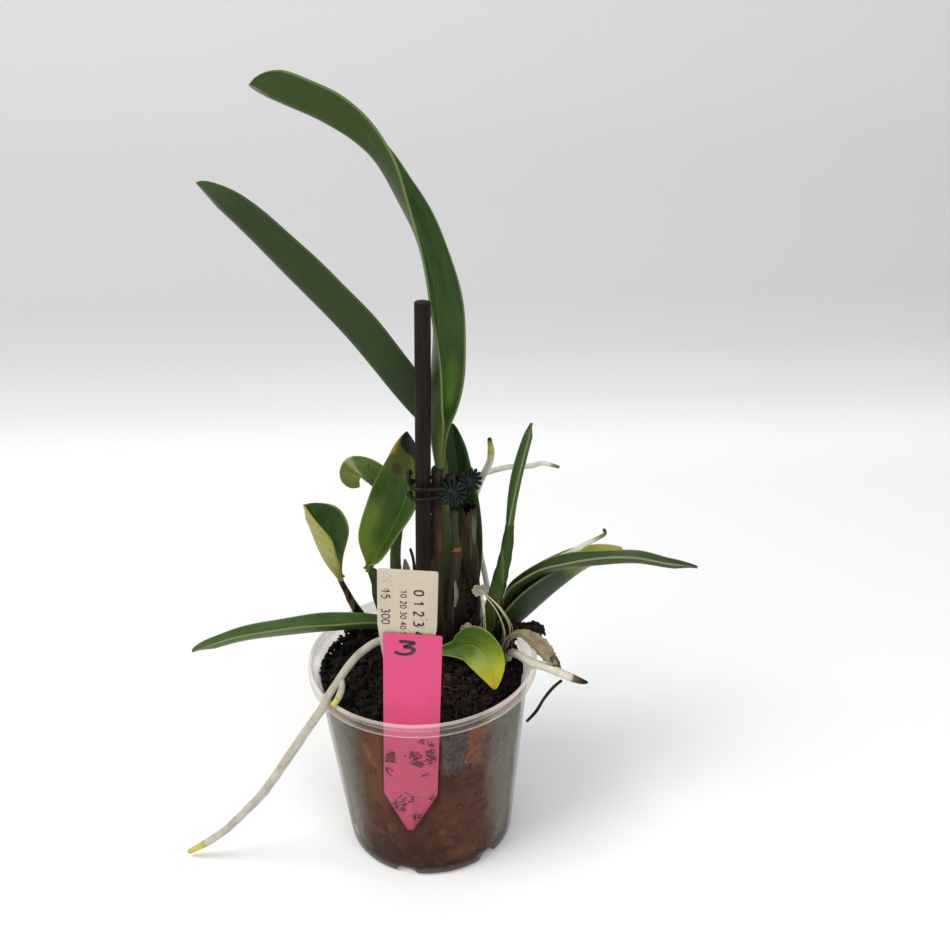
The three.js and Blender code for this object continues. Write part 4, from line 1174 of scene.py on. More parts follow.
def dress_labels():
    ink = ink_look()
    pink, pink_move = tag_mesh("pink_tag", *PINK_TAG)
    white, white_move = tag_mesh("white_tag", *WHITE_TAG)
    soil = [
        (-7.6, 39.5, 3.2, 5.0, 1.2), (-8.2, 31.6, 2.6, 4.0, 0.85), (7.25, 41.1, 3.4, 6.5, 1.15),
        (1.1, 40.5, 4.6, 5.0, 1.0),
        (2.9, 36.6, 3.0, 2.6, 1.6), (5.3, 31.1, 2.6, 2.0, 0.95), (8.2, 18.75, 2.6, 2.2, 1.25),
        (-4.3, 13.4, 4.6, 5.0, 1.05),
        (2.25, 8.0, 3.4, 3.4, 1.1), (-1.0, 17.0, 7.0, 6.0, 0.75), (4.3, 48.25, 4.0, 1.8, 1.0),
        (7.6, 47.0, 2.4, 2.4, 0.9),
    ]
    plastic = tag_look("pink_plastic", (216, 74, 122), (204, 66, 112), soil, 0.5)
    finished(pink, plastic, "label_pink", slot="label_pink")
    soil = [(-6.0, 92.0, 4.0, 5.0, 0.35), (5.0, 76.0, 4.0, 4.0, 0.35)]
    plastic = tag_look("white_plastic", (198, 187, 166), (186, 174, 152), soil, 0.0, 0.35)
    finished(white, plastic, "label_white", slot="label_white")

    # A plain number in felt pen on the pink tag.
    three = [
        [(-4.74, 96.05), (-1.87, 96.2), (0.92, 95.9)],
        [(0.92, 95.9), (-1.24, 94.8), (-3.2, 93.7)],
        [
            (-3.2, 93.7), (-1.1, 93.6), (0.4, 92.8), (-0.3, 91.25), (-2.4, 90.4), (-4.6, 90.55),
            (-6.2, 91.4),
        ],
    ]
    inked("pink_number", [ink_stroke(stroke, 0.7) for stroke in three], pink_move, ink, "label_pink")

    # Three columns of plain numbers printed down the white tag.
    strokes = printed("0 1 2 3 4 5", 2.3, 89.9, 2.0, 0.33)
    strokes += printed("10 20 30 40 50", -2.3, 89.7, 1.25, 0.19)
    strokes += printed("15", -8.7, 89.9, 1.7, 0.24)
    strokes += printed("300", -8.7, 81.3, 1.7, 0.22)
    inked("white_numbers", strokes, white_move, ink, "label_white")


dress_labels()


# ---------------------------------------------------------------- stems, pseudobulbs and roots

STEMS = {
    "rhizome": [
        (-18.5, 19.6, 77.5, 2.4), (-12, 18.6, 79, 3.2), (-1, 13.5, 80, 3.4), (10, 12, 80.5, 3.4),
        (19, 14, 80.5, 3.4),
        (26, 8, 80, 3.2), (32, 6.5, 78.6, 2.2),
    ],
    "bulb_tall": [
        (5.8, 5.4, 79, 2.6), (6.5, 6, 107.5, 2.6), (7.5, 4, 131, 2.5), (8.3, 3, 152.5, 2.2),
        (8.8, 3.8, 162, 2.1),
    ],
    "bulb_long": [
        (9, 15.5, 84.8, 2.8), (10, 15, 108.5, 2.8), (10, 15, 128.5, 2.5), (10, 15, 150, 2.3),
        (9.4, 15, 167, 2.1),
    ],
    "bulb_behind": [(17.3, 21.6, 70, 3), (17.5, 21.8, 79, 3), (18.3, 22, 88, 2.4)],
    "bulb_front": [(5.8, -1.6, 72, 1.8), (5.4, -2.3, 80, 1.7), (4.4, -2.8, 85, 1)],
    "bulb_blotched": [
        (-13, 18.5, 83.5, 2.9), (-16, 18, 96, 2.9), (-17.5, 18.8, 104.5, 2.4), (-19.2, 19, 110, 1.7),
    ],
    "bulb_grey": [
        (-9.5, 23.6, 70, 2.5), (-10, 24, 105, 2.2), (-9.5, 25, 116.5, 2), (-7.2, 26, 128, 1.8),
    ],
    "stem_dried": [
        (-23, 26.4, 69, 2.2), (-24.4, 22.6, 83, 2.1), (-27.5, 18, 95, 1.6), (-29.5, 16, 102.5, 1.2),
        (-31.3, 14.2, 109.5, 1),
    ],
    "stem_sheathed": [
        (11.2, 6.5, 78, 2), (11.2, 6.8, 102, 2.1), (13, 6, 115.5, 2.2), (14.5, 6, 124.5, 1.7),
        (14, 6, 133, 1.6), (14, 6, 142, 1.7),
    ],
    "bulb_cut": [(19, 13, 85.7, 3.9), (19, 13, 109.5, 3.8), (18.5, 13, 125, 3.4), (19, 13, 138, 3.2)],
    "bulb_upright": [
        (24.8, 6, 84.4, 2.5), (26.9, 4.8, 98, 2.8), (30.1, 3.6, 112, 2.7), (32.7, 4, 123, 2.4),
        (33.9, 4, 131, 2),
        (34.6, 4.1, 137.4, 1.6),
    ],
    "bulb_lower_right": [(31.7, 6.6, 82.5, 1.6), (31, 6.3, 83.9, 1.6)],
    "root_left": [
        (-4.5, 10.2, 77, 1.4), (-7, 6.4, 84.5, 1.5), (-16, -2, 90.5, 1.5), (-22.5, -9, 90.5, 1.5),
        (-26.5, -15, 89.5, 1.5),
        (-30.5, -22, 87, 1.5), (-33.5, -27.2, 84.9, 1.5), (-36, -30.8, 81.5, 1.6),
        (-41.5, -33, 74.5, 1.6),
        (-48.5, -32, 63, 1.7), (-62, -28, 40.5, 1.7), (-70, -26, 30, 1.6), (-79.5, -23, 18, 1.5),
        (-88.5, -21, 9.5, 1.5), (-97.3, -19, 2.6, 1),
    ],
    "root_right": [
        (32.5, 1, 77, 1.5), (33.5, -0.5, 82, 1.6), (36.5, -4.5, 84, 1.6), (41.5, -11, 84.9, 1.7),
        (48, -13, 83.5, 1.6),
        (54.5, -14, 80.5, 1.6), (59.5, -14, 78, 1.2), (62.5, -14, 77, 0.5),
    ],
    "root_up": [
        (22.2, 21, 70, 1.2), (22.4, 24.4, 88, 1.2), (19.5, 28.6, 106.5, 1.2), (19, 30, 124, 1.2),
        (22.5, 30, 136.5, 1.3),
        (25.5, 29, 144.5, 1.3), (28, 28, 150.5, 1.3), (28.5, 27, 156, 1.3), (28, 26, 161.5, 0.8),
    ],
    "root_back": [
        (26.4, 19, 70, 1.2), (27, 24, 86, 1.2), (23.5, 31.5, 108, 1.1), (21.2, 34.6, 128, 1.1),
        (23.5, 35.5, 139.5, 1.1),
        (28, 36, 142, 1.1), (35, 37, 143.2, 1.1), (44, 38, 143, 1), (49, 39, 143.5, 0.9),
        (55.5, 40, 141, 0.6),
    ],
    "root_channel": [
        (36.2, 10.1, 102.3, 0.9), (39.5, 11.3, 105.8, 1.1), (45.5, 10.8, 111, 1.1),
        (51.4, 9.2, 117, 1.2), (57.3, 8, 120.9, 1.3),
        (62.2, 9, 123.6, 1), (67, 10, 125.6, 0.8), (70.5, 11, 127.2, 0.7), (70, 12, 128.9, 0.6),
    ],
    "root_broken": [
        (52.6, -14.6, 79, 0.6), (49.5, -17, 78, 0.6), (45.5, -20, 74.8, 0.6), (42.5, -23, 71.6, 0.6),
        (38.5, -27.5, 70.2, 0.5),
    ],
    "spike_remnant": [
        (-1.5, 6.8, 77, 0.7), (-1.5, 6, 100, 0.7), (-1.7, 5, 120, 0.6), (-2.7, 5, 127, 0.5),
    ],
    "dry_curl": [
        (34.8, 3.9, 73, 0.9), (34.4, 3.4, 84, 0.9), (35, 2.4, 89.3, 1.2), (37.5, 1.6, 91, 1.2),
        (40.5, 1, 91.5, 1.1), (44, 0, 91.5, 1), (45.5, -1, 89.5, 0.8),
    ],
}
SIDE_TIP_PACE = 3.0
SIDE_ROOT = [
    (-29.5, -20.5, 87.2, 1.1), (-28.9, -25, 86, 1.2), (-30.2, -29.4, 84.8, 1.2),
    (-32.2, -32.4, 83.6, 0.9),
]


def cup(rows, depth, wall, sides, rim):
    """A loose sheath or hollow stub along nearly upright rows of x, y, z, radius, open at its top.

    rim(turn) lifts or drops the edge by mm, and inside surfaces have a share of 2 in the mark place.
    """
    fine, lengths = measured(rows)
    count = max(8, int(lengths[-1] / 0.8))
    outer = read_at(fine, lengths, np.linspace(0, lengths[-1], count))
    inner = read_at(fine, lengths, np.linspace(lengths[-1], lengths[-1] - depth, 10))
    inner[:, 3] -= wall
    path = np.vstack([outer, inner])
    inside = np.arange(len(path)) >= count
    turn = np.arange(sides) / sides
    angle = turn * TURN
    top = outer[-1, 2]
    near_top = np.clip(1 - (top - path[:, 2]) / 7.0, 0, 1)[:, None]
    edge = rim(turn)[None] * near_top**2 if rim else 0
    alongs = (path[:, 2] - path[0, 2])[:, None] + 0 * angle
    turns = turn[None] + 0 * alongs
    radius = path[:, 3:4] * (1 + 0.02 * np.sin(3 * angle + 0.3 * alongs))
    rings = np.stack(
        [
            path[:, :1] + radius * np.cos(angle), path[:, 1:2] + radius * np.sin(angle),
            path[:, 2:3] + edge + 0 * angle,
        ],
        2,
    )
    grain = np.stack([radius * np.cos(angle), radius * np.sin(angle), alongs], 2)
    place = np.stack([turns, alongs, np.where(inside, 2.0, 0.5)[:, None] + 0 * turns], 2)
    return skin(rings, {"grain": grain, "place": place})


def cut_rim(turn):
    """Torn fibres round the cut pseudobulb's top, with a cleft at its front."""
    torn = 0.5 * np.sin(5 * turn * TURN) + 0.4 * np.sin(11 * turn * TURN + 1)
    torn = torn + 0.35 * np.sin(17 * turn * TURN + 2)
    cleft = np.exp(-(((turn - 0.72) / 0.02) ** 2))
    return torn - 2.0 * cleft


def sheath_rim(turn):
    """A sheath's edge, dipped to a U at the front."""
    return 1.6 * np.cos((turn - 0.25) * TURN) + 0.25 * np.sin(7 * turn * TURN)


CUPS = {
    "bulb_cut": (
        [(19, 13, 112, 3.85), (18.6, 13, 125, 3.6), (19, 13, 132, 3.45), (19, 13, 139.4, 3.35)], 5.0,
        0.6, cut_rim,
    ),
    "bulb_upright": (
        [(25.6, 5.6, 89, 2.8), (27.4, 4.6, 99.5, 3.02), (30.0, 3.8, 110.6, 2.95)], 1.6, 0.25,
        sheath_rim,
    ),
    "stem_sheathed": (
        [(12.4, 6.3, 111, 2.4), (13.9, 6, 121, 2.35), (14.5, 6, 125.6, 2.15)], 1.2, 0.35, None,
    ),
}
CUT_TUBE = [(19, 13, 85.7, 3.9), (19, 13, 109.5, 3.75), (18.5, 13, 125, 3.1), (19, 13, 134.4, 2.9)]


def stem_look(name, stops, streak=(104, 92, 64), streaks=0.25, roughness=0.6, relief=0.25, bands=()):
    """A stem coloured by height in mm, with fibres along it and ragged changes between colours.

    bands are more bits of it: x and z of the middle in mm, half sizes, colour, amount.
    """
    look = Look(name, roughness, Specular_IOR_Level=0.14)
    grain, place = look.mark("grain"), look.mark("place")
    spot = look.spot()
    x, _, z = look.apart(spot)
    lines = look.noise(look.stretch(grain[3], 2.4, 2.4, 0.07), 1.0, 5.0, 0.65)
    blotch = look.noise(spot, 0.35, 4.0, 0.6)
    fleck = look.noise(look.stretch(spot, 1.0, 1.0, 0.45), 1.4, 5.0, 0.7)
    look.colour = look.heights(look.add(z, look.sway(blotch, 6.0)), stops)
    look.lay(look.between(lines, 0.52, 0.7), streak, streaks)
    for *oval, band_colour, amount in bands:
        reach = look.add(look.oval(x, z, *oval), look.sway(fleck, 0.8))
        inside = look.below(reach, 0.65, 1.05)
        look.lay(inside, band_colour, amount)
    look.lay(look.below(lines, 0.28, 0.42), (22, 15, 12), 0.55)
    look.lay(look.between(fleck, 0.6, 0.7), (26, 18, 14), 0.35)
    # Painted shade: the insides of the hollow stubs and open sheaths are laid near-black.
    look.lay(look.between(place[2], 1.3, 1.7), (14, 10, 8))
    look.relief(lines, relief).relief(blotch, 0.12)
    return look.done(look.add(look.times(lines, 0.3), roughness - 0.15))


def root_look(name, light, shade, length, ends):
    """Chalky root skin, dirt in its wrinkles. ends are (mm before the tip, colour) stops."""
    look = Look(
        name, 0.78, Specular_IOR_Level=0.22, Subsurface_Weight=0.1, Subsurface_Radius=(1.0, 1.0, 0.8),
        Subsurface_Scale=0.001,
    )
    grain, place = look.mark("grain"), look.mark("place")
    spot = look.spot()
    lines = look.noise(look.stretch(grain[3], 2.2, 2.2, 0.25), 1.0, 4.0, 0.6)
    cloud = look.noise(spot, 0.14, 4.0, 0.6)
    look.colour = look.mix(look.between(cloud, 0.3, 0.7), shade, light)
    look.lay(look.between(lines, 0.5, 0.75), (158, 158, 132), 0.3)
    dirt = look.between(look.noise(spot, 0.5, 5.0, 0.7), 0.58, 0.7)
    look.lay(dirt, (112, 98, 74), 0.3)
    rings = look.between(look.noise(look.stretch(grain[3], 0.1, 0.1, 1.3), 1.0, 2.0), 0.62, 0.7)
    look.lay(rings, (226, 224, 212), 0.3)
    edge = look.add(place[1], look.sway(lines, 1.6))
    start = length - ends[0][0]
    tip = look.between(edge, start - 0.7, start + 0.7)
    look.lay(tip, look.heights(edge, [(length - before, tone) for before, tone in ends]))
    look.relief(lines, 0.12).relief(look.noise(spot, 2.5, 3.0), 0.05)
    return look.done(look.add(look.times(tip, -0.4), 0.8))


BARK_BROWN = (48, 36, 26)
TIP_GREEN, TIP_YELLOW, TIP_DARK = (150, 158, 76), (194, 184, 78), (40, 32, 18)


# Each stem's material, colours by height in mm, fibre colour and amount, roughness, relief,
# and the bits laid on top, as stem_look takes them.
STEM_LOOKS = {
    "rhizome": (
        "rhizome_bark", [(70, (28, 20, 15)), (80, (48, 35, 26)), (86, (40, 30, 22))], (96, 78, 56), 0.3,
        0.85, 0.5,
    ),
    "bulb_tall": (
        "bulb_tall_sheath",
        [
            (76, (40, 30, 22)), (115, (56, 44, 32)), (140, (60, 45, 33)), (150, (52, 36, 28)),
            (163, (40, 40, 24)),
        ],
        (122, 96, 64), 0.45, 0.65, 0.4,
        [
            (5.4, 118, 1.0, 8, (112, 92, 60), 0.5), (8.6, 131, 0.9, 5, (96, 70, 48), 0.5),
            (9, 148, 1.4, 4, (36, 22, 18), 0.7),
        ],
    ),
    "bulb_long": (
        "bulb_long_skin",
        [
            (80, (52, 68, 34)), (104, (60, 78, 38)), (120, (84, 100, 50)), (150, (92, 104, 52)),
            (168, (44, 60, 30)),
        ],
        (128, 136, 84), 0.25,
    ),
    "bulb_behind": ("bulb_behind_skin", [(70, BARK_BROWN), (84, (50, 64, 34)), (90, (32, 48, 24))]),
    "bulb_front": ("bulb_front_skin", [(70, BARK_BROWN), (80, (92, 96, 52)), (88, (66, 84, 36))]),
    "bulb_blotched": (
        "bulb_blotched_skin",
        [(80, (32, 42, 24)), (96, (40, 58, 28)), (108, (50, 72, 34)), (112, (86, 100, 46))],
        (84, 98, 54), 0.2,
    ),
    "bulb_grey": (
        "bulb_grey_skin",
        [(70, (48, 62, 32)), (104, (58, 74, 42)), (114, (82, 94, 62)), (130, (96, 106, 76))],
        (140, 142, 112), 0.4,
    ),
    "stem_dried": (
        "stem_dried_skin",
        [(69, (34, 26, 20)), (90, (26, 19, 17)), (104, (28, 20, 18)), (110, (64, 50, 28))],
        (110, 88, 52), 0.35, 0.5, 0.25,
        [(-27.5, 95, 1.2, 4, (126, 104, 62), 0.7), (-29, 101, 0.8, 3, (112, 86, 48), 0.5)],
    ),
    "stem_sheathed": (
        "stem_sheath",
        [
            (78, (28, 26, 18)), (104, (46, 40, 30)), (121, (54, 44, 32)), (124.6, (62, 48, 34)),
            (126.5, (52, 54, 38)), (143, (56, 62, 44)),
        ],
        (108, 98, 72), 0.35, 0.6, 0.35,
        [
            (14.4, 126, 3, 0.7, (150, 112, 66), 0.8), (12.5, 134, 0.5, 8, (122, 120, 92), 0.6),
            (13.4, 102, 0.35, 5, (176, 166, 138), 0.8), (12.2, 96, 0.5, 8, (88, 76, 54), 0.5),
        ],
    ),
    "bulb_cut": (
        "bulb_cut_sheath",
        [
            (84, (22, 15, 12)), (110, (32, 20, 16)), (117, (44, 34, 24)), (123, (56, 50, 32)),
            (136, (60, 54, 36)), (142, (44, 38, 28)),
        ],
        (108, 96, 66), 0.4, 0.65, 0.5,
        [
            (21.2, 131, 1.0, 7, (118, 106, 80), 0.75), (16.6, 126, 0.6, 9, (92, 82, 54), 0.55),
            (18.8, 128, 0.4, 8, (28, 22, 16), 0.6), (20.0, 124, 0.5, 6, (84, 82, 52), 0.6),
            (19.2, 104, 0.7, 10, (66, 40, 32), 0.5), (21.6, 112, 0.7, 5, (58, 36, 28), 0.6),
        ],
    ),
    "bulb_upright": (
        "bulb_upright_skin",
        [
            (82, (44, 46, 24)), (100, (52, 64, 26)), (109, (60, 76, 32)), (113, (44, 68, 20)),
            (137, (46, 68, 22)), (140, (32, 30, 18)),
        ],
        (90, 92, 58), 0.2, 0.45, 0.2,
        [
            (29.7, 103, 0.5, 2.6, (128, 78, 40), 0.8), (28.0, 97, 0.6, 6, (92, 86, 58), 0.5),
            (31.5, 120, 0.7, 9, (84, 104, 62), 0.6), (34.6, 139.6, 3, 1.6, (24, 20, 13), 0.9),
        ],
    ),
    "bulb_lower_right": ("bulb_lower_right_skin", [(80, (46, 56, 30)), (88, (32, 44, 22))]),
    "root_broken": ("root_broken_skin", [(64, (22, 17, 14)), (80, (46, 35, 27))], (84, 68, 50), 0.3, 0.8),
    "spike_remnant": (
        "spike_skin", [(76, (44, 34, 24)), (112, (66, 48, 28)), (128, (46, 32, 20))], (118, 90, 50),
        0.4,
    ),
    "dry_curl": (
        "dry_curl_skin", [(72, (34, 26, 22)), (86, (30, 22, 20)), (93, (36, 24, 20))], (86, 66, 50),
        0.35, 0.55,
    ),
}
# Each root's lighter and darker skin, and the colours of its tip by mm before the end.
ROOT_LOOKS = {
    "root_left": (
        (196, 192, 174), (166, 160, 142),
        [(11, TIP_GREEN), (8, TIP_YELLOW), (2, (196, 186, 92)), (0, (150, 136, 70))],
    ),
    "root_right": (
        (222, 217, 200), (196, 190, 170),
        [(7, (120, 92, 60)), (4, (70, 46, 32)), (2, (20, 15, 13)), (0, (12, 10, 9))],
    ),
    "root_up": (
        (206, 203, 184), (178, 172, 152),
        [(7, TIP_GREEN), (4, TIP_YELLOW), (1.4, (150, 140, 56)), (0.6, TIP_DARK)],
    ),
    "root_back": ((222, 220, 206), (192, 188, 172), [(4, (150, 146, 110)), (1, (104, 94, 70))]),
    "root_channel": (
        (212, 214, 196), (186, 186, 166),
        [(7, (160, 172, 120)), (4, (92, 120, 54)), (1.6, (70, 84, 36)), (0.5, TIP_DARK)],
    ),
}


def dress_stems():
    sides = {
        "rhizome": 36, "bulb_tall": 36, "bulb_cut": 40, "bulb_long": 32, "root_left": 24,
        "root_right": 24,
    }
    for k, (name, rows) in enumerate(STEMS.items()):
        is_root = name.startswith("root_") and name != "root_broken"
        uneven = wobble(k + 3, 0.07 if is_root else 0.12, 4, 14.0 if is_root else 10.0)
        path = CUT_TUBE if name == "bulb_cut" else rows
        parts = [tube(path, sides.get(name, 24), 0.7 if is_root else 0.9, (0.8, 1.0), uneven)]
        length = measured(rows)[1][-1]
        if name in CUPS:
            cup_rows, depth, wall, rim = CUPS[name]
            parts.append(cup(cup_rows, depth, wall, 72, rim))
        if name == "root_left":
            points, faces, marks = tube(SIDE_ROOT, 20, 0.6, (0.5, 1.2), wobble(30, 0.06))
            short = measured(SIDE_ROOT)[1][-1]
            marks["place"][:, 1] = length - (short - marks["place"][:, 1]) * SIDE_TIP_PACE
            parts.append((points, faces, marks))
        slot = next(
            part["material_slot"]
            for part in frame["record"]["subparts"] if part["node"] == name
        )
        if is_root:
            light, shade, ends = ROOT_LOOKS[name]
            look = root_look(name + "_velamen", light, shade, length, ends)
        else:
            look = stem_look(*STEM_LOOKS[name])
        piece(name + "_skin", parts, look, name, slot=slot)


dress_stems()


# ---------------------------------------------------------------- leaves

LEAVES = {
    "leaf_tall": [
        (9, 4, 163.7, 2.2, 78, 0.9, -0.4, 0.1), (8, 5, 172.5, 4.5, 76, 0.9, -0.4, 0.1),
        (7.5, 7, 183, 9, 66, 0.8, -0.6, 0),
        (9.5, 10, 198, 10.2, 50, 0.8, -0.6, 0), (11, 11.5, 217.8, 9.7, 31, 0.8, -0.6, 0),
        (7.5, 11, 240.5, 8.7, 23, 0.9, -0.4, 0.2),
        (1, 9, 257, 8.5, 28, 0.9, -0.2, 0.4), (-7, 6, 273, 8.8, 32, 0.8, 0.2, 0.6),
        (-19.5, 0, 285, 8.8, 32, 0.2, 0.7, 0.7),
        (-30.5, -5, 292, 8.4, 30, 0.1, 0.7, 0.7), (-41, -10, 298.5, 7.2, 25, 0.1, 0.7, 0.7),
    ],
    "leaf_long": [
        (9, 15, 169, 2.4, 78, 0.6, -0.5, 0.6), (4.5, 15, 174, 7.5, 60, 0.7, 0.3, 0.6),
        (-5, 14, 187, 10.8, 45, 0.6, 0.6, 0.5),
        (-20, 11, 210.5, 11, 38, 0.5, 0.7, 0.5), (-36.5, 6, 233.5, 10.2, 34, 0.4, 0.8, 0.5),
        (-50.5, 0, 253.5, 8, 30, 0.4, 0.8, 0.5),
        (-61.5, -6, 268.5, 5, 26, 0.3, 0.8, 0.6),
    ],
    "leaf_behind": [
        (18.4, 22, 89.7, 2.5, 60, 0, -1, 0.1), (18, 23, 101, 5, 35, 0, -1, 0.1),
        (17.5, 24, 116.5, 7, 25, 0, -1, 0),
        (17, 24, 134, 6.8, 22, 0, -1, 0), (15.5, 23, 153.5, 4.8, 22, 0.1, -1, -0.1),
        (14.5, 21, 170, 2.6, 20, 0.1, -1, -0.1),
    ],
    "leaf_blotched": [
        (-19.5, 19, 111.6, 1.8, 60, -0.7, -0.6, 0.4), (-15.2, 19, 118.5, 9.6, 40, -0.8, -0.6, 0.3),
        (-8, 18, 132, 12.9, 36, -0.8, -0.6, 0.3), (-3, 17, 145, 12.7, 34, -0.7, -0.7, 0.1),
        (-1, 15, 158.5, 8.8, 30, -0.6, -0.8, -0.2), (-2, 12, 171.5, 3, 20, -0.3, -0.9, -0.2),
    ],
    "leaf_grey": [
        (-7, 26, 129.6, 1.8, 60, 0.2, -0.8, 0.5), (-9.3, 27, 135.4, 3.6, 40, 0.2, -0.8, 0.5),
        (-13.2, 28, 142.8, 4.3, 24, 0.3, -0.8, 0.6), (-17.5, 27, 147.8, 4.8, 14, 0.4, -0.6, 0.7),
        (-21.8, 24, 151, 5.4, 8, 0.4, -0.4, 0.8), (-23.8, 21, 150.2, 4.6, 6, 0, -0.6, 0.6),
        (-23.3, 19.6, 147.8, 3.2, 6, -0.2, -0.7, 0.4), (-21.3, 19, 146, 1.6, 6, -0.3, -0.7, 0.3),
    ],
    "leaf_yellow_back": [
        (-31.5, 14, 110.9, 1.6, 60, 0.9, -0.2, 0.4), (-35, 13, 118, 7.5, 58, 0.9, -0.2, 0.3),
        (-37.5, 12, 126.5, 11.8, 56, 0.9, -0.3, 0.2),
        (-39, 10, 135, 12, 56, 1, -0.3, 0.1), (-40, 8, 141, 9.5, 54, 1, -0.3, 0),
        (-40.5, 6, 146, 6.5, 48, 0.9, -0.3, 0),
    ],
    "leaf_low_left": [
        (-9.5, 12.2, 85.5, 2.5, 55, 0.3, 0.1, 0.9), (-19.5, 10, 89.5, 5, 40, 0.2, 0.2, 1),
        (-35.5, 6, 92, 6.4, 35, 0.1, 0.2, 1),
        (-51, 2, 93.5, 6.2, 33, 0, 0.2, 1), (-66.5, -3, 95, 5, 32, 0, 0.2, 1),
        (-78, -7, 94.5, 3.6, 32, -0.1, 0.2, 1),
        (-85.5, -10, 94, 2.6, 30, -0.1, 0.2, 1),
    ],
    "leaf_upright": [
        (34.8, 4.2, 138.3, 1.5, 60, -0.6, 0.8, 0), (35.9, 4.5, 145.5, 1.9, 58, -0.7, 0.7, 0),
        (37.7, 5, 154.5, 2.2, 56, -0.7, 0.7, 0.1), (40, 6.5, 163.5, 2.2, 56, -0.7, 0.7, 0.2),
        (42, 8.4, 170.5, 1.6, 54, -0.7, 0.7, 0.2), (43, 9.6, 174.8, 1, 50, -0.7, 0.7, 0.2),
    ],
    "leaf_lower_right": [
        (30.1, 6, 85.8, 2.8, 70, -0.7, 0.1, 0.7), (35, 6, 90.5, 8.2, 60, -0.7, 0.1, 0.7),
        (44.5, 7, 99.5, 12.2, 54, -0.7, 0.1, 0.7), (52.5, 9, 106, 11.8, 50, -0.6, 0.1, 0.8),
        (62, 12, 112, 9, 46, -0.5, 0.1, 0.9), (71, 15, 115, 5.2, 36, -0.3, 0, 1),
        (78, 17, 117, 2.4, 30, -0.2, -0.1, 1),
    ],
    "leaf_arching": [
        (32.3, 7.6, 94, 1, 66, -1, 0.1, 0.1), (32.7, 8, 96.8, 2, 58, -1, 0.1, 0.2),
        (34.7, 8, 103.2, 3, 50, -0.9, 0.1, 0.4), (38.3, 7, 108.2, 3.6, 42, -0.6, 0.2, 0.8),
        (46.5, 4.8, 115.3, 4, 36, -0.5, 0.2, 0.8), (54.7, -0.4, 120.8, 4.8, 36, -0.4, 0.2, 0.9),
        (66, -6, 125.5, 4.6, 40, -0.2, 0.2, 1), (79, -10, 128.5, 3.6, 38, -0.1, 0.1, 1),
        (90.5, -13, 128, 2.4, 34, 0.1, 0.1, 1), (100.8, -15, 127.5, 1.4, 30, 0.1, 0.1, 1),
    ],
    "leaf_front": [
        (5.6, -2.8, 85.6, 1.2, 30, -0.3, -0.8, 0.5), (12.5, -4, 87.5, 2.8, 22, -0.4, -0.8, 0.4),
        (16.1, -5.2, 89.8, 5, 16, -0.4, -0.8, 0.4),
        (19.9, -7.5, 91.2, 7.3, 12, -0.3, -0.8, 0.5), (23.8, -11, 89.1, 7, 10, -0.2, -0.8, 0.5),
        (25.7, -15, 86.5, 5.8, 10, -0.1, -0.8, 0.6),
        (26.5, -18, 84.1, 4.3, 10, -0.1, -0.8, 0.6), (27.2, -20.6, 80.2, 2.6, 8, -0.1, -0.8, 0.6),
    ],
}
LEAF_TIPS = {
    "leaf_tall": 8, "leaf_long": 12, "leaf_behind": 12, "leaf_blotched": 8, "leaf_grey": 4,
    "leaf_yellow_back": 7,
    "leaf_low_left": 8, "leaf_upright": 5, "leaf_lower_right": 8, "leaf_arching": 8, "leaf_front": 8,
}
# The side of the front leaf that is the inside of its turn.
FRONT_INSIDE = 1


class LeafLook(Look):
    """A waxy leaf: fine veins, a midrib, thin light margins, a paler underside, and zones on top."""

    def __init__(self, name, length, deep, mid, under, margin, rib, edge, fold):
        super().__init__(
            name, 0.38, Specular_IOR_Level=0.17, Coat_Weight=0.03, Coat_Roughness=0.3,
            Subsurface_Weight=0.06, Subsurface_Radius=(0.6, 1.0, 0.2), Subsurface_Scale=0.001,
        )
        self.length = length
        self.x, _, self.s, self.grain = self.mark("grain")
        self.share, _, self.side, _ = self.mark("place")
        self.veins = self.noise(self.stretch(self.grain, 2.6, 1.0, 0.03), 1.0, 3.0, 0.55)
        self.cloud = self.noise(self.stretch(self.grain, 0.2, 1.0, 0.05), 1.0, 4.0, 0.6)
        self.mottle = self.noise(self.grain, 0.9, 5.0, 0.7)
        self.out = self.math("ABSOLUTE", self.share)
        top = self.mix(self.between(self.cloud, 0.32, 0.68), deep, mid)
        below = self.mix(self.between(self.cloud, 0.3, 0.7), under, self.mix(0.4, under, mid))
        self.colour = self.mix(self.between(self.side, 0.4, 0.6), top, below)
        self.lay(self.between(self.veins, 0.52, 0.75), margin, 0.1)
        self.lay(self.below(self.veins, 0.25, 0.42), deep, 0.18)
        keel = self.below(self.math("ABSOLUTE", self.add(self.share, -fold)), 0.0, 0.06)
        self.lay(keel, margin, rib)
        edge_line = self.between(self.add(self.out, self.sway(self.mottle, 0.03)), 0.95, 0.99)
        self.lay(edge_line, margin, edge)
        dust = self.between(self.noise(self.grain, 2.6, 4.0, 0.8), 0.68, 0.74)
        self.lay(dust, (150, 156, 130), 0.12)

    def along(self, low, high, ragged=6.0):
        """0 before low mm, 1 after high mm, with a ragged edge."""
        return self.between(self.add(self.s, self.sway(self.cloud, ragged)), low, high)

    def until(self, low, high, ragged=6.0):
        return self.inverse(self.along(low, high, ragged))

    def patch(self, across, along, wide, long, softness, ragged):
        """An uneven oval centred across mm and along mm."""
        reach = self.oval(self.x, self.s, across, along, wide, long)
        reach = self.add(reach, self.sway(self.mottle, ragged))
        return self.below(reach, 1 - softness, 1.0)

    def finish(self):
        self.relief(self.veins, 0.09).relief(self.cloud, 0.3).relief(self.mottle, 0.03)
        self.relief(self.below(self.out, 0.0, 0.09), 0.06)
        return self.done(self.add(self.times(self.mottle, 0.2), 0.24))


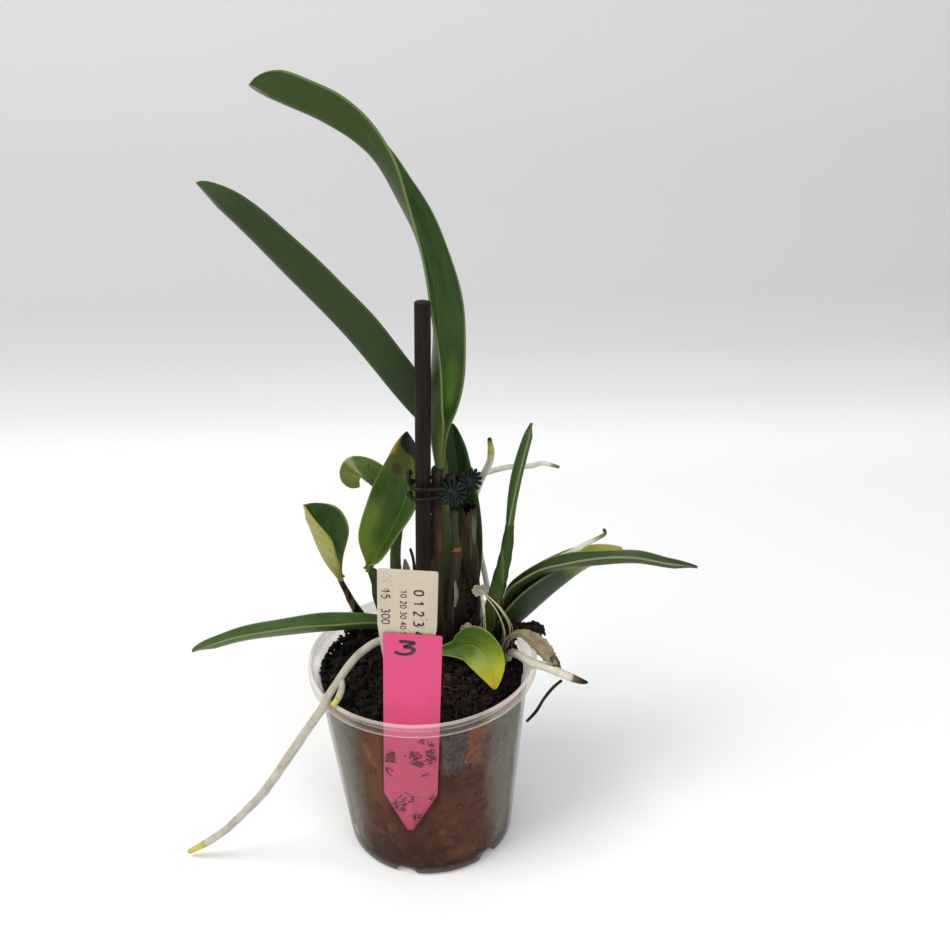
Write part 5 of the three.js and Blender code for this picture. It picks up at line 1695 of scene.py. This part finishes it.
# Each leaf's darker and lighter green, underside and margin, how far its midrib and its margins
# stand out, and the midrib's place across it.
LEAF_TONES = {
    "leaf_tall": ((32, 58, 18), (48, 76, 24), (50, 66, 24), (128, 142, 80), 0.14, 0.55, 0.0),
    "leaf_long": ((32, 54, 18), (44, 66, 24), (40, 56, 24), (104, 118, 70), 0.14, 0.35, 0.0),
    "leaf_behind": ((22, 44, 14), (32, 58, 18), (40, 62, 26), (96, 112, 52), 0.14, 0.4, 0.0),
    "leaf_blotched": ((38, 68, 12), (52, 84, 20), (72, 98, 32), (124, 138, 62), 0.3, 0.45, 0.0),
    "leaf_grey": ((80, 100, 44), (98, 120, 56), (86, 104, 50), (142, 152, 100), 0.14, 0.4, 0.0),
    "leaf_yellow_back": ((58, 88, 44), (74, 108, 54), (142, 142, 44), (182, 178, 100), 0.3, 0.45, 0.0),
    "leaf_low_left": ((54, 78, 36), (70, 96, 48), (72, 94, 52), (140, 154, 96), 0.3, 0.5, 0.0),
    "leaf_upright": ((48, 70, 28), (62, 84, 36), (60, 80, 40), (134, 148, 96), 0.7, 0.5, 0.1),
    # The lower right leaf's dark underside tone holds painted shade, and its bright margin line is partly
    # a painted highlight on the thick edge.
    "leaf_lower_right": ((16, 32, 8), (26, 46, 12), (28, 50, 12), (132, 146, 78), 0.3, 0.75, 0.0),
    "leaf_arching": ((44, 62, 28), (58, 76, 38), (54, 70, 34), (148, 156, 106), 0.3, 0.6, 0.0),
    "leaf_front": ((54, 80, 22), (76, 102, 28), (96, 116, 38), (206, 204, 78), 0.2, 0.9, 0.0),
}


def leaf_material(name, length):
    """Each leaf's own zones, from the base of the blade at 0 mm to its tip."""
    look = LeafLook(name + "_wax", length, *LEAF_TONES[name])
    if name == "leaf_tall":
        look.lay(look.patch(-3.0, 40, 9.0, 34, 0.9, 0.3), (62, 84, 30), 0.6)
        # Painted light: a bright green patch with a lighter core, where light shines through the blade.
        look.lay(look.patch(6.0, 32, 4.2, 15.0, 0.9, 0.5), (82, 120, 36), 0.75)
        look.lay(look.patch(6.4, 27, 2.2, 6.0, 0.9, 0.5), (104, 142, 44), 0.45)
        look.lay(look.until(10, 24), (84, 100, 44), 0.75)
    elif name == "leaf_long":
        look.lay(look.between(look.share, 0.2, 0.9), (34, 50, 26), 0.5)
        look.lay(look.along(length - 16, length), (74, 92, 48), 0.4)
    elif name == "leaf_behind":
        look.lay(look.between(look.share, 0.72, 0.86), (74, 92, 44), 0.6)
    elif name == "leaf_blotched":
        look.lay(look.until(2, 16), (126, 140, 48), 0.75)
        left = look.times(look.below(look.share, -0.75, -0.3), look.until(22, 34))
        look.lay(look.times(left, look.along(5, 10)), (112, 134, 46), 0.6)
        look.lay(look.between(look.noise(look.grain, 0.32, 4.0, 0.65), 0.5, 0.64), (74, 104, 34), 0.5)
        look.lay(look.patch(-3.0, 30, 5.0, 16, 0.9, 0.6), (40, 70, 22), 0.5)
        # Painted sheen: a greyer green patch on the right half.
        look.lay(look.patch(8.0, 34, 5.5, 13, 0.8, 0.4), (62, 84, 46), 0.6)
        look.lay(look.along(length - 26, length - 16, 10.0), (92, 92, 34), 0.65)
        look.lay(look.patch(-5.6, length - 18.3, 2.8, 4.4, 0.6, 0.8), (60, 50, 30), 0.8)
        look.lay(look.patch(1.8, length - 20.5, 1.6, 2.8, 0.6, 0.8), (72, 62, 34), 0.5)
        look.lay(look.patch(1.2, length - 3.0, 4.8, 9.4, 0.14, 0.5), (26, 22, 26), 0.97)
        look.lay(
            look.times(look.below(look.share, -0.93, -0.66), look.along(length - 12, length - 8, 2.0)),
            (176, 154, 44), 0.75,
        )
    elif name == "leaf_grey":
        look.lay(look.along(length - 9.6, length - 7.6, 2.0), (92, 92, 40), 0.75)
        # Painted highlight: a pale line along the crest where the blade bends over.
        painted_crest_highlight = look.times(
            look.along(length - 9.8, length - 8.8, 1.0), look.until(length - 8.4, length - 7.2, 1.0),
        )
        look.lay(painted_crest_highlight, (158, 166, 116), 0.6)
        look.lay(look.patch(2.3, length - 14.2, 0.9, 0.6, 0.5, 0.5), (44, 36, 24), 0.7)
        look.lay(look.patch(1.9, length - 8.6, 1.2, 1.0, 0.5, 0.6), (128, 122, 100), 0.6)
        look.lay(look.until(2, 8, 3.0), (56, 66, 34), 0.6)
    elif name == "leaf_yellow_back":
        yellow = look.times(look.between(look.side, 0.3, 0.6), look.below(look.share, -0.1, 0.12))
        look.lay(
            yellow, look.mix(look.between(look.mottle, 0.4, 0.6), (162, 156, 52), (134, 132, 34)), 0.95,
        )
        look.lay(look.until(2, 10), (140, 134, 66), 0.8)
        look.lay(look.patch(-10.0, 22, 0.9, 1.1, 0.4, 0.6), (96, 70, 34), 0.7)
        look.lay(look.patch(-4.0, 8, 1.0, 1.6, 0.4, 0.6), (108, 84, 40), 0.6)
        look.lay(look.patch(-8.0, 31, 0.7, 0.9, 0.4, 0.6), (112, 92, 44), 0.5)
    elif name == "leaf_low_left":
        look.lay(look.until(6, 30), (52, 66, 38), 0.6)
        look.lay(look.along(length - 12, length), (92, 106, 62), 0.5)
    elif name == "leaf_upright":
        look.lay(look.between(look.share, 0.18, 0.6), (40, 60, 26), 0.6)
    elif name == "leaf_lower_right":
        # Painted shade: a dark stripe on the underside near one margin.
        look.lay(
            look.times(look.between(look.share, 0.6, 0.8), look.between(look.side, 0.3, 0.6)),
            (24, 34, 18), 0.7,
        )
        look.lay(look.along(length - 26, length - 12, 10.0), (150, 154, 50), 0.85)
        look.lay(look.along(length - 12, length - 4, 5.0), (168, 150, 72), 0.8)
        look.lay(look.until(2, 12), (30, 38, 20), 0.7)
    elif name == "leaf_arching":
        look.lay(look.along(length - 10, length - 2), (62, 62, 40), 0.7)
    else:
        dapple = look.noise(look.stretch(look.grain, 1.0, 1.0, 0.6), 0.28, 4.0, 0.6)
        look.lay(look.between(dapple, 0.45, 0.62), (84, 110, 32), 0.7)
        look.lay(look.until(10, 24), (52, 82, 24), 0.45)
        look.lay(look.along(18, 27, 9.0), (128, 148, 38), 0.9)
        look.lay(
            look.times(look.between(look.share, 0.25, 0.8), look.along(11, 20, 5.0)), (140, 156, 40),
            0.6,
        )
        look.lay(look.along(24, 33, 7.0), (176, 172, 42), 0.85)
        dark = look.times(look.below(look.share, -0.9, -0.35), look.until(22, 31))
        look.lay(dark, (62, 88, 24), 0.65)
        look.lay(look.times(look.between(dapple, 0.55, 0.66), look.along(14, 20)), (104, 128, 36), 0.5)
        look.lay(look.along(length - 3.0, length - 0.6, 1.0), (196, 152, 52), 0.7)
    return look.finish()


LEADS = {"leaf_front": 1.5, "leaf_arching": 2.0}
YELLOWING = ("leaf_front", "leaf_yellow_back")


def dress_leaves():
    for k, (name, rows) in enumerate(LEAVES.items()):
        rows = led_in(rows, LEADS.get(name, 2.6))
        eased_side = FRONT_INSIDE if name == "leaf_front" else 0
        parts = [blade(rows, LEAF_TIPS[name], wave=0.18, seed=k, pitch=0.9, eased_side=eased_side)]
        look = leaf_material(name, measured(rows)[1][-1])
        slot = "leaf_yellowing" if name in YELLOWING else "leaf"
        piece(name + "_blade", parts, look, name, slot=slot)


dress_leaves()


# ---------------------------------------------------------------- dry scraps

PAPERY = [
    (31.6, -5, 80.5, 1.2, 50, -0.5, -0.9, 0), (31.6, -4.8, 86.5, 1.4, 60, -0.7, -0.7, 0),
    (33.8, -4.6, 91, 1.7, 60, -0.8, -0.3, 0.6), (38, -5, 92.8, 2.6, 44, -0.1, -0.2, 1),
    (43, -8, 91.5, 3.6, 26, 0.3, -0.4, 0.9), (47.5, -11, 88, 3.4, 16, 0.5, -0.5, 0.8),
    (51, -12.6, 85, 1.2, 10, 0.5, -0.5, 0.7),
]
PAPERY_TAIL = [
    (48.6, -11.8, 87.4, 1.2, 14, 0.5, -0.5, 0.7), (50.2, -11.9, 85.4, 1.8, 12, 0.5, -0.5, 0.7),
    (51.6, -11.2, 82, 1.2, 8, 0.6, -0.5, 0.6), (52.3, -10.8, 79.2, 0.6, 6, 0.6, -0.5, 0.6),
]
PALE_SCALE = [
    (-6, 23.6, 96, 1.5, 30, 0.3, -1, 0), (-5.9, 23.8, 104, 1.4, 30, 0.3, -1, 0),
    (-6.3, 24.4, 110.5, 1, 20, 0.3, -1, 0),
]
FIBRE_KNOT = (22.6, 9.2, 105.5)
FIBRE_ROUTES = [
    [(26.5, 1.2, 106.5), (30.2, -0.2, 102.6), (33.8, -0.8, 94.8), (33.2, -1.6, 86)],
    [(26, 1, 105.6), (29.2, -0.8, 101), (31.6, -1.4, 93), (31, -2, 85.5)],
    [(24.2, 4, 102), (24.4, 0.4, 95), (24.6, -1.4, 89), (24.8, -2.4, 84)],
]


# Torn leaf-sheath bases about the stems, in rows as blade takes them.
DARK_SCRAPS = [
    [
        (14.2, 7, 79, 2.8, 16, 0, -1, 0.1), (14.6, 6.8, 88, 2.9, 16, 0, -1, 0.1),
        (14.9, 6.8, 98, 2.8, 18, 0.1, -1, 0.1), (15.1, 7, 108, 2.2, 20, 0.1, -1, 0.1),
        (15.2, 7.4, 116, 0.9, 20, 0.1, -1, 0.1),
    ],
    [
        (18.4, 6.4, 79, 3, 34, 0.1, -1, 0.1), (18.8, 5.2, 86, 2.8, 40, 0.1, -1, 0.2),
        (19.6, 4.2, 92, 2, 46, 0.1, -1, 0.3), (20.6, 4.4, 97.5, 0.8, 46, 0.1, -1, 0.3),
    ],
    [
        (11.2, 2.8, 79, 2.4, 36, -0.1, -1, 0.1), (10.4, 1.8, 86, 2.2, 44, -0.2, -1, 0.2),
        (9.6, 1.2, 92, 1.5, 50, -0.2, -1, 0.3), (9.1, 1.6, 97, 0.6, 50, -0.2, -1, 0.3),
    ],
    [
        (22.4, 3.8, 79, 2.3, 30, 0.2, -1, 0.2), (23.4, 2.6, 85, 2, 40, 0.2, -1, 0.3),
        (24.6, 1.8, 90, 0.8, 46, 0.2, -1, 0.4),
    ],
    [
        (27.4, 1, 78.5, 2, 30, 0.3, -1, 0.2), (29, -0.8, 83, 2.4, 44, 0.3, -1, 0.3),
        (30.9, -2.2, 87, 1.9, 52, 0.2, -1, 0.5), (32.6, -2.8, 90, 0.7, 52, 0.2, -1, 0.6),
    ],
    [
        (31.4, 0.2, 83, 1.4, 40, -0.3, -0.8, 0.4), (32.6, 0.5, 88, 2.3, 56, -0.3, -0.8, 0.4),
        (34.8, 1.2, 92, 2.2, 60, -0.2, -0.8, 0.6), (38.4, 1.5, 94.6, 0.8, 50, 0, -0.7, 0.7),
    ],
    [
        (34.2, 0.8, 88, 1.2, 40, -0.1, -0.9, 0.5), (36.6, 0.6, 92, 2, 54, 0, -0.9, 0.5),
        (40.2, 0.4, 94.2, 2, 60, 0.1, -0.9, 0.5), (44.4, -0.4, 94.2, 1.7, 50, 0.2, -0.9, 0.5),
        (47.2, -1.6, 90.4, 0.5, 40, 0.4, -0.8, 0.5),
    ],
    [
        (33.2, 1, 84, 1.8, 30, -0.2, -0.9, 0.3), (34.2, 0.6, 88.4, 2.6, 44, -0.2, -0.9, 0.3),
        (35.6, 0.6, 92.6, 1.8, 56, 0, -0.9, 0.3), (36, 1, 96, 0.5, 50, 0, -0.9, 0.3),
    ],
]
PALE_SCRAPS = [
    [
        (20.4, 8.4, 103.6, 1.1, 16, 0, -1, 0.2), (22.2, 8.0, 105.4, 2.5, 20, 0.1, -1, 0.2),
        (24.4, 7.6, 105.8, 2.2, 16, 0.1, -1, 0.2), (26.2, 7.2, 104.6, 0.8, 12, 0.1, -1, 0.2),
    ],
    [
        (15.4, 2.8, 90.4, 0.9, 20, 0, -1, 0.5), (17.2, 2.2, 93.2, 1.4, 26, 0.1, -1, 0.6),
        (19.4, 2.4, 92.4, 0.5, 20, 0.2, -1, 0.6),
    ],
]
PEELED_SLIVER = [
    (13.0, 4.2, 101, 0.4, 30, 0.2, -1, 0), (13.7, 3.9, 107, 0.8, 36, 0.2, -1, 0),
    (13.4, 4.1, 113, 0.3, 30, 0.2, -1, 0),
]


def paper_look(name, light, dark, brown=0.0):
    """Dry sheath: veined, brittle and a little translucent, browner towards its base."""
    look = Look(
        name, 0.7, Specular_IOR_Level=0.2, Subsurface_Weight=0.15, Subsurface_Radius=(1.0, 0.7, 0.4),
        Subsurface_Scale=0.001,
    )
    grain = look.mark("grain")
    veins = look.noise(look.stretch(grain[3], 3.2, 1.0, 0.06), 1.0, 4.0, 0.6)
    cloud = look.noise(grain[3], 0.25, 4.0, 0.65)
    look.colour = look.mix(look.between(cloud, 0.35, 0.7), light, dark)
    base = look.below(look.add(grain[2], look.sway(cloud, 6.0)), 9.0, 17.0)
    look.lay(base, (62, 48, 36), brown)
    look.lay(look.between(veins, 0.5, 0.62), (88, 70, 48), 0.5)
    look.lay(look.below(veins, 0.32, 0.42), (190, 178, 148), 0.35)
    look.relief(veins, 0.2).relief(cloud, 0.5)
    return look.done()


def dress_sheaths():
    """The papery sheath with its tail, the pale scale, and the scraps of sheath about the stems."""
    papery = blade(
        PAPERY, 3, keel=0.35, margin=0.25, pitch=0.4, wave=0.45, seed=8, torn=0.07, across_steps=30,
    )
    tail = blade(
        PAPERY_TAIL, 2, keel=0.3, margin=0.22, pitch=0.4, wave=0.3, seed=12, torn=0.1, across_steps=12,
    )
    look = paper_look("dry_paper", (158, 144, 114), (112, 98, 74), 0.8)
    piece("dry_sheath_paper", [papery, tail], look, "dry_sheath", slot="dry_tan")
    scale = blade(PALE_SCALE, 4, keel=0.7, margin=0.5, pitch=0.6, wave=0.1, seed=9)
    look = paper_look("pale_paper", (196, 188, 160), (150, 144, 108))
    piece("pale_scale_paper", [scale], look, "pale_scale", slot="dry_tan")

    parts = []
    for k, rows in enumerate(DARK_SCRAPS):
        parts.append(
            blade(
                rows, 2, keel=0.5, margin=0.35, pitch=0.4, wave=0.5, seed=20 + k, torn=0.22,
                across_steps=14,
            )
        )
    stops = [(78, (20, 15, 12)), (90, (30, 22, 18)), (106, (46, 34, 26))]
    look = stem_look("scrap_skin", stops, (92, 74, 54), 0.4, 0.7, 0.5)
    piece("sheath_scraps", parts + loose_threads(), look, slot="dry_dark")

    parts = []
    for k, rows in enumerate(PALE_SCRAPS):
        parts.append(
            blade(
                rows, 1.2, keel=0.3, margin=0.22, pitch=0.3, wave=0.2, seed=40 + k, torn=0.16,
                across_steps=12,
            )
        )
    piece(
        "pale_scraps", parts, paper_look("pale_scrap", (206, 200, 180), (150, 142, 118)),
        slot="dry_tan",
    )
    sliver = blade(
        PEELED_SLIVER, 2, keel=0.3, margin=0.22, pitch=0.4, wave=0.1, seed=50, torn=0.04,
        across_steps=8,
    )
    piece(
        "peeled_sliver", [sliver], paper_look("peeled_skin", (132, 132, 120), (96, 96, 84)),
        slot="dry_tan",
    )


def loose_threads():
    """Thin threads that hang among the feet of the stems."""
    random = np.random.default_rng(17)
    parts = []
    for _ in range(26):
        x, y, z = random.uniform(9, 25), random.uniform(1, 8), random.uniform(83, 98)
        lean_x, lean_y = random.normal(0, 1, 2) * [2.4, 1.6]
        drop = random.uniform(3, 7)
        sag = random.uniform(-1, 1)
        middle = (x + lean_x * 0.5 + sag, y + lean_y * 0.5, z - drop * 0.5, 0.18)
        rows = [(x, y, z, 0.22), middle, (x + lean_x, y + lean_y, z - drop, 0.12)]
        parts.append(tube(rows, 6, 0.6, (1, 1)))
    return parts


def dress_straw():
    """Straw fibres that run down from one knot, thinner ones beside them, and short loose ends."""
    random = np.random.default_rng(5)
    knot = np.array(FIBRE_KNOT)
    parts = []
    for copy in range(3):
        for route in FIBRE_ROUTES:
            drift = random.normal(0, 0.35 if copy else 0, 3)
            rows = [(*FIBRE_KNOT, 0.2)]
            for step, point in enumerate(route):
                swing = 0.4 + 0.5 * step
                rows.append((*(np.array(point) + drift * swing), 0.2 if copy == 0 else 0.13))
            parts.append(tube(rows, 8, 0.7, (1, 1)))
    for _ in range(14):
        heading = unit(random.normal(size=3) * [1, 1, 0.8])
        end = knot + heading * random.uniform(1.2, 2.6)
        bend = knot + heading * 0.9 + random.normal(0, 0.3, 3)
        parts.append(tube([(*FIBRE_KNOT, 0.22), (*bend, 0.2), (*end, 0.12)], 6, 0.5, (1, 1)))
    stops = [(80, (112, 92, 62)), (96, (176, 162, 128)), (108, (208, 200, 178))]
    look = stem_look("straw_skin", stops, (220, 212, 186), 0.3)
    piece("straw", parts, look, "straw_fibres", slot="dry_tan")


dress_sheaths()
dress_straw()


# ---------------------------------------------------------------- daisy clip

CLIP_HEIGHT = 154.6
HINGE = (13.6, 0.2)
PIN_RADIUS = 0.8
PIN_HEIGHT = 8.0
BARREL_RADIUS = 1.9
BARREL_HEIGHT = 5.0
EAR_HEIGHT = 3.4
FINGER_RADIUS = 0.75
FINGER_END = 1.2
PETALS = 14
PETAL_ROWS = [(1.0, 0.42, -0.7), (2.6, 0.6, -0.75), (4.2, 0.72, -0.6), (5.1, 0.5, -0.45)]
DOME_RADIUS = 2.3
FRONT_FINGERS = [
    [
        (-1.3, 3, 159.6), (-1.6, 0.6, 157.6), (-0.2, -2.8, 156.6), (3.4, -4.2, 156.4), (8, -3.6, 156.2),
        (12.4, -2.4, 155.8),
    ],
    [
        (-1.5, 0.2, 152.6), (-0.2, -2.9, 152.2), (3.4, -4.2, 152.4), (8, -3.6, 152.8),
        (12.4, -2.4, 153.4),
    ],
]
BACK_FINGER = [
    (12, 3.4, 155.2), (9.2, 6.9, 155.4), (5.5, 6.4, 155.6), (2.5, 4.5, 155.8), (-0.6, 3.3, 155.8),
]


def daisy(move):
    """A thumb pad of narrow petals round a domed centre, in one skin a petal."""
    parts = []
    for k in range(PETALS):
        angle = k / PETALS * TURN
        heading = np.array([math.cos(angle), 0, math.sin(angle)])
        rows = []
        for reach, radius, lift in PETAL_ROWS:
            rows.append((*(heading * reach + np.array([0, lift, 0])), radius))
        parts.append(tube(rows, 12, 0.5, (0.6, 1.0)))
    rings = []
    for share in np.linspace(0, 1, 9):
        lean = share * math.pi
        angle = np.arange(28) / 28 * TURN
        radius = max(math.sin(lean) * DOME_RADIUS, 0.02)
        depth = math.cos(lean) * (1.3 if share > 0.5 else 0.6) - 0.7
        rings.append(np.stack([radius * np.cos(angle), np.full(28, depth), radius * np.sin(angle)], 1))
    points, faces, _ = skin(np.array(rings), {})
    parts.append((points, faces, {"grain": points.copy(), "place": points.copy()}))
    points, faces, marks = merged(parts)
    return placed_at(move, points), faces, marks


def ball(centre, radius):
    rings = []
    for lean in np.linspace(0, math.pi, 11):
        angle = np.arange(20) / 20 * TURN
        reach = max(math.sin(lean) * radius, 0.01)
        rings.append(about_axis(reach, angle, np.full(20, -radius * math.cos(lean))))
    points, faces, _ = skin(np.array(rings), {})
    return points + np.array(centre), faces, {"grain": points, "place": points}


def soft_block(low, high, ease):
    """A box with rounded edges."""
    low, high = np.array(low, float), np.array(high, float)
    middle, half = (low + high) / 2, (high - low) / 2
    corners = [(-half[0], -half[1]), (half[0], -half[1]), (half[0], half[1]), (-half[0], half[1])]
    rings = []
    foot = [(-half[2], ease), (-half[2] + ease * 0.3, ease * 0.3), (-half[2] + ease, 0)]
    for z, inset in foot + [(-z, inset) for z, inset in foot[::-1]]:
        inner = [(x - math.copysign(inset, x), y - math.copysign(inset, y)) for x, y in corners]
        outline = rounded_outline(inner, [ease] * 4, 4)
        rings.append(np.column_stack([outline, np.full(len(outline), z)]))
    points, faces, _ = skin(np.array(rings), {})
    return points + middle, faces, {"grain": points, "place": points}


def wire(points):
    return tube([(*point, FINGER_RADIUS) for point in points], 16, 0.5, (0.9, 0.9))


def upright_round(radius, height):
    x, y = HINGE
    rows = [(x, y, CLIP_HEIGHT - height / 2, radius), (x, y, CLIP_HEIGHT + height / 2, radius)]
    return tube(rows, 28, 0.6, (0.2, 0.2))


def clip_look():
    look = Look("clip_plastic", 0.25, Specular_IOR_Level=0.16, Coat_Weight=0.05, Coat_Roughness=0.2)
    spot = look.spot()
    cloud = look.noise(spot, 0.4, 3.0)
    dust = look.noise(spot, 2.0, 5.0, 0.75)
    look.colour = look.mix(cloud, (7, 12, 11), (14, 22, 20))
    look.lay(look.between(dust, 0.6, 0.72), (84, 94, 86), 0.25)
    look.relief(dust, 0.03)
    return look.done(look.add(look.times(dust, 0.3), 0.22))


def pad_place(right, back, above, yaw, tilt):
    """A daisy pad's place, in mm from the hinge."""
    x, y = HINGE
    turned_pad = Matrix.Rotation(yaw, 4, "Z") @ Matrix.Rotation(tilt, 4, "X")
    return Matrix.Translation((x + right, y + back, CLIP_HEIGHT + above)) @ turned_pad


def hinge_block(left, front, right, back, middle, half_height, ease=0.35):
    """A rounded block given by mm to the left, front, right and back of the hinge."""
    x, y = HINGE
    return soft_block(
        (x - left, y - front, middle - half_height), (x + right, y + back, middle + half_height), ease,
    )


def dress_clip():
    plastic = clip_look()
    parts = [daisy(pad_place(0.4, -3.0, -0.6, 0.1, -0.35))]
    parts += [wire(finger) for finger in FRONT_FINGERS]
    parts += [ball(finger[0], FINGER_END) for finger in FRONT_FINGERS]
    parts += [
        hinge_block(2.1, 3.1, 1.3, -1.7, CLIP_HEIGHT, 2.2), upright_round(BARREL_RADIUS, BARREL_HEIGHT),
    ]
    piece("clip_front_jaw", parts, plastic, "clip_front", body="clip_jaw", slot="clip")

    parts = [
        daisy(pad_place(6.5, 3.8, 0.6, 0.5, -0.15)), wire(BACK_FINGER),
        ball(BACK_FINGER[-1], FINGER_END),
    ]
    parts += [
        hinge_block(2.2, -2.3, 4.2, 3.3, CLIP_HEIGHT, PIN_HEIGHT / 2),
        upright_round(PIN_RADIUS, PIN_HEIGHT),
    ]
    for middle in (CLIP_HEIGHT - EAR_HEIGHT, CLIP_HEIGHT + EAR_HEIGHT):
        parts.append(hinge_block(1.6, 1.1, 1.6, 3.3, middle, 0.6, 0.25))
    piece("clip_back_jaw", parts, plastic, "clip_back", slot="clip")


dress_clip()


# ---------------------------------------------------------------- room, light and camera

SWEEP_START = 290.0
SWEEP_RADIUS = 170.0
SWEEP_HALF_WIDTH = 2600
# Painted shade of the sweep: its grey by height in mm, darkest a little way up the backdrop.
SWEEP_PAINTED_SHADE = [
    (0, 252), (5, 250), (11, 242), (22, 226), (45, 209), (73, 201), (138, 202), (204, 206), (320, 208),
]
SKY = (0.94, 0.96, 1.0, 1)
SKY_STRENGTH = 0.67
# Name, place, target and size in mm, power in W and colour.
LIGHTS = [
    ("key", (-420, -260, 900), (0, 0, 90), 500, 5.4, (1.0, 0.98, 0.95)),
    ("fill", (500, -700, 500), (0, 0, 120), 600, 2.2, (0.96, 0.98, 1.0)),
]
CAMERA_PLACE = (22.22, -390, 362.8)
CAMERA_LENS = 46.74
CAMERA_PITCH = math.radians(27.53)
CAMERA_ROLL = math.radians(-1.72)


def dress_sweep():
    """A pale sweep of floor and backdrop, greyed by height as painted shade, clear when seen from behind.
    """
    bend = np.linspace(0, math.pi / 2, 60)
    profile = [(-900.0, 0.0), (0.0, 0.0), (200.0, 0.0)]
    profile += [
        (SWEEP_START + SWEEP_RADIUS * math.sin(turn), SWEEP_RADIUS * (1 - math.cos(turn)))
        for turn in bend
    ]
    profile += [(SWEEP_START + SWEEP_RADIUS, 600.0), (SWEEP_START + SWEEP_RADIUS, 1600.0)]
    points = [(x, y, z) for y, z in profile for x in (-SWEEP_HALF_WIDTH, SWEEP_HALF_WIDTH)]
    faces = [(2 * k, 2 * k + 1, 2 * k + 3, 2 * k + 2) for k in range(len(profile) - 1)]
    sweep = mesh_object("sweep", points, faces)
    look = Look("sweep_paper", 0.85, Specular_IOR_Level=0.1)
    _, _, z = look.apart(look.spot())
    look.set("Alpha", look.inverse(look.node("NewGeometry", {}, output="Backfacing")))
    # Painted shade: the sweep's grey by height stands in for the light falling off up the backdrop.
    look.colour = look.heights(z, [(at, (tone, tone, tone - 1)) for at, tone in SWEEP_PAINTED_SHADE])
    sweep.data.materials.append(look.done())


def dress_lights():
    world = bpy.data.worlds.new("studio")
    world.use_nodes = True
    background = world.node_tree.nodes["Background"]
    background.inputs["Color"].default_value = SKY
    background.inputs["Strength"].default_value = SKY_STRENGTH
    scene.world = world
    for name, place, target, size, power, colour in LIGHTS:
        data = bpy.data.lights.new(name, "AREA")
        data.shape = "DISK"
        data.size = size * MM
        data.energy = power
        data.color = colour
        light = bpy.data.objects.new(name, data)
        light.location = Vector(place) * MM
        light.rotation_euler = (Vector(target) - Vector(place)).to_track_quat("-Z", "Y").to_euler()
        scene.collection.objects.link(light)


def dress_camera():
    data = bpy.data.cameras.new("camera")
    data.lens = CAMERA_LENS
    data.sensor_width = 36
    data.clip_start = 0.01
    camera = bpy.data.objects.new("camera", data)
    forward = Vector((0, math.cos(CAMERA_PITCH), -math.sin(CAMERA_PITCH)))
    level, above = Vector((1, 0, 0)), Vector((0, math.sin(CAMERA_PITCH), math.cos(CAMERA_PITCH)))
    right = level * math.cos(CAMERA_ROLL) + above * math.sin(CAMERA_ROLL)
    up = above * math.cos(CAMERA_ROLL) - level * math.sin(CAMERA_ROLL)
    turn = Matrix((right, up, -forward)).transposed().to_4x4()
    camera.matrix_world = Matrix.Translation(Vector(CAMERA_PLACE) * MM) @ turn
    scene.collection.objects.link(camera)
    scene.camera = camera
    scene.view_settings.view_transform = "Standard"


dress_sweep()
dress_lights()
dress_camera()
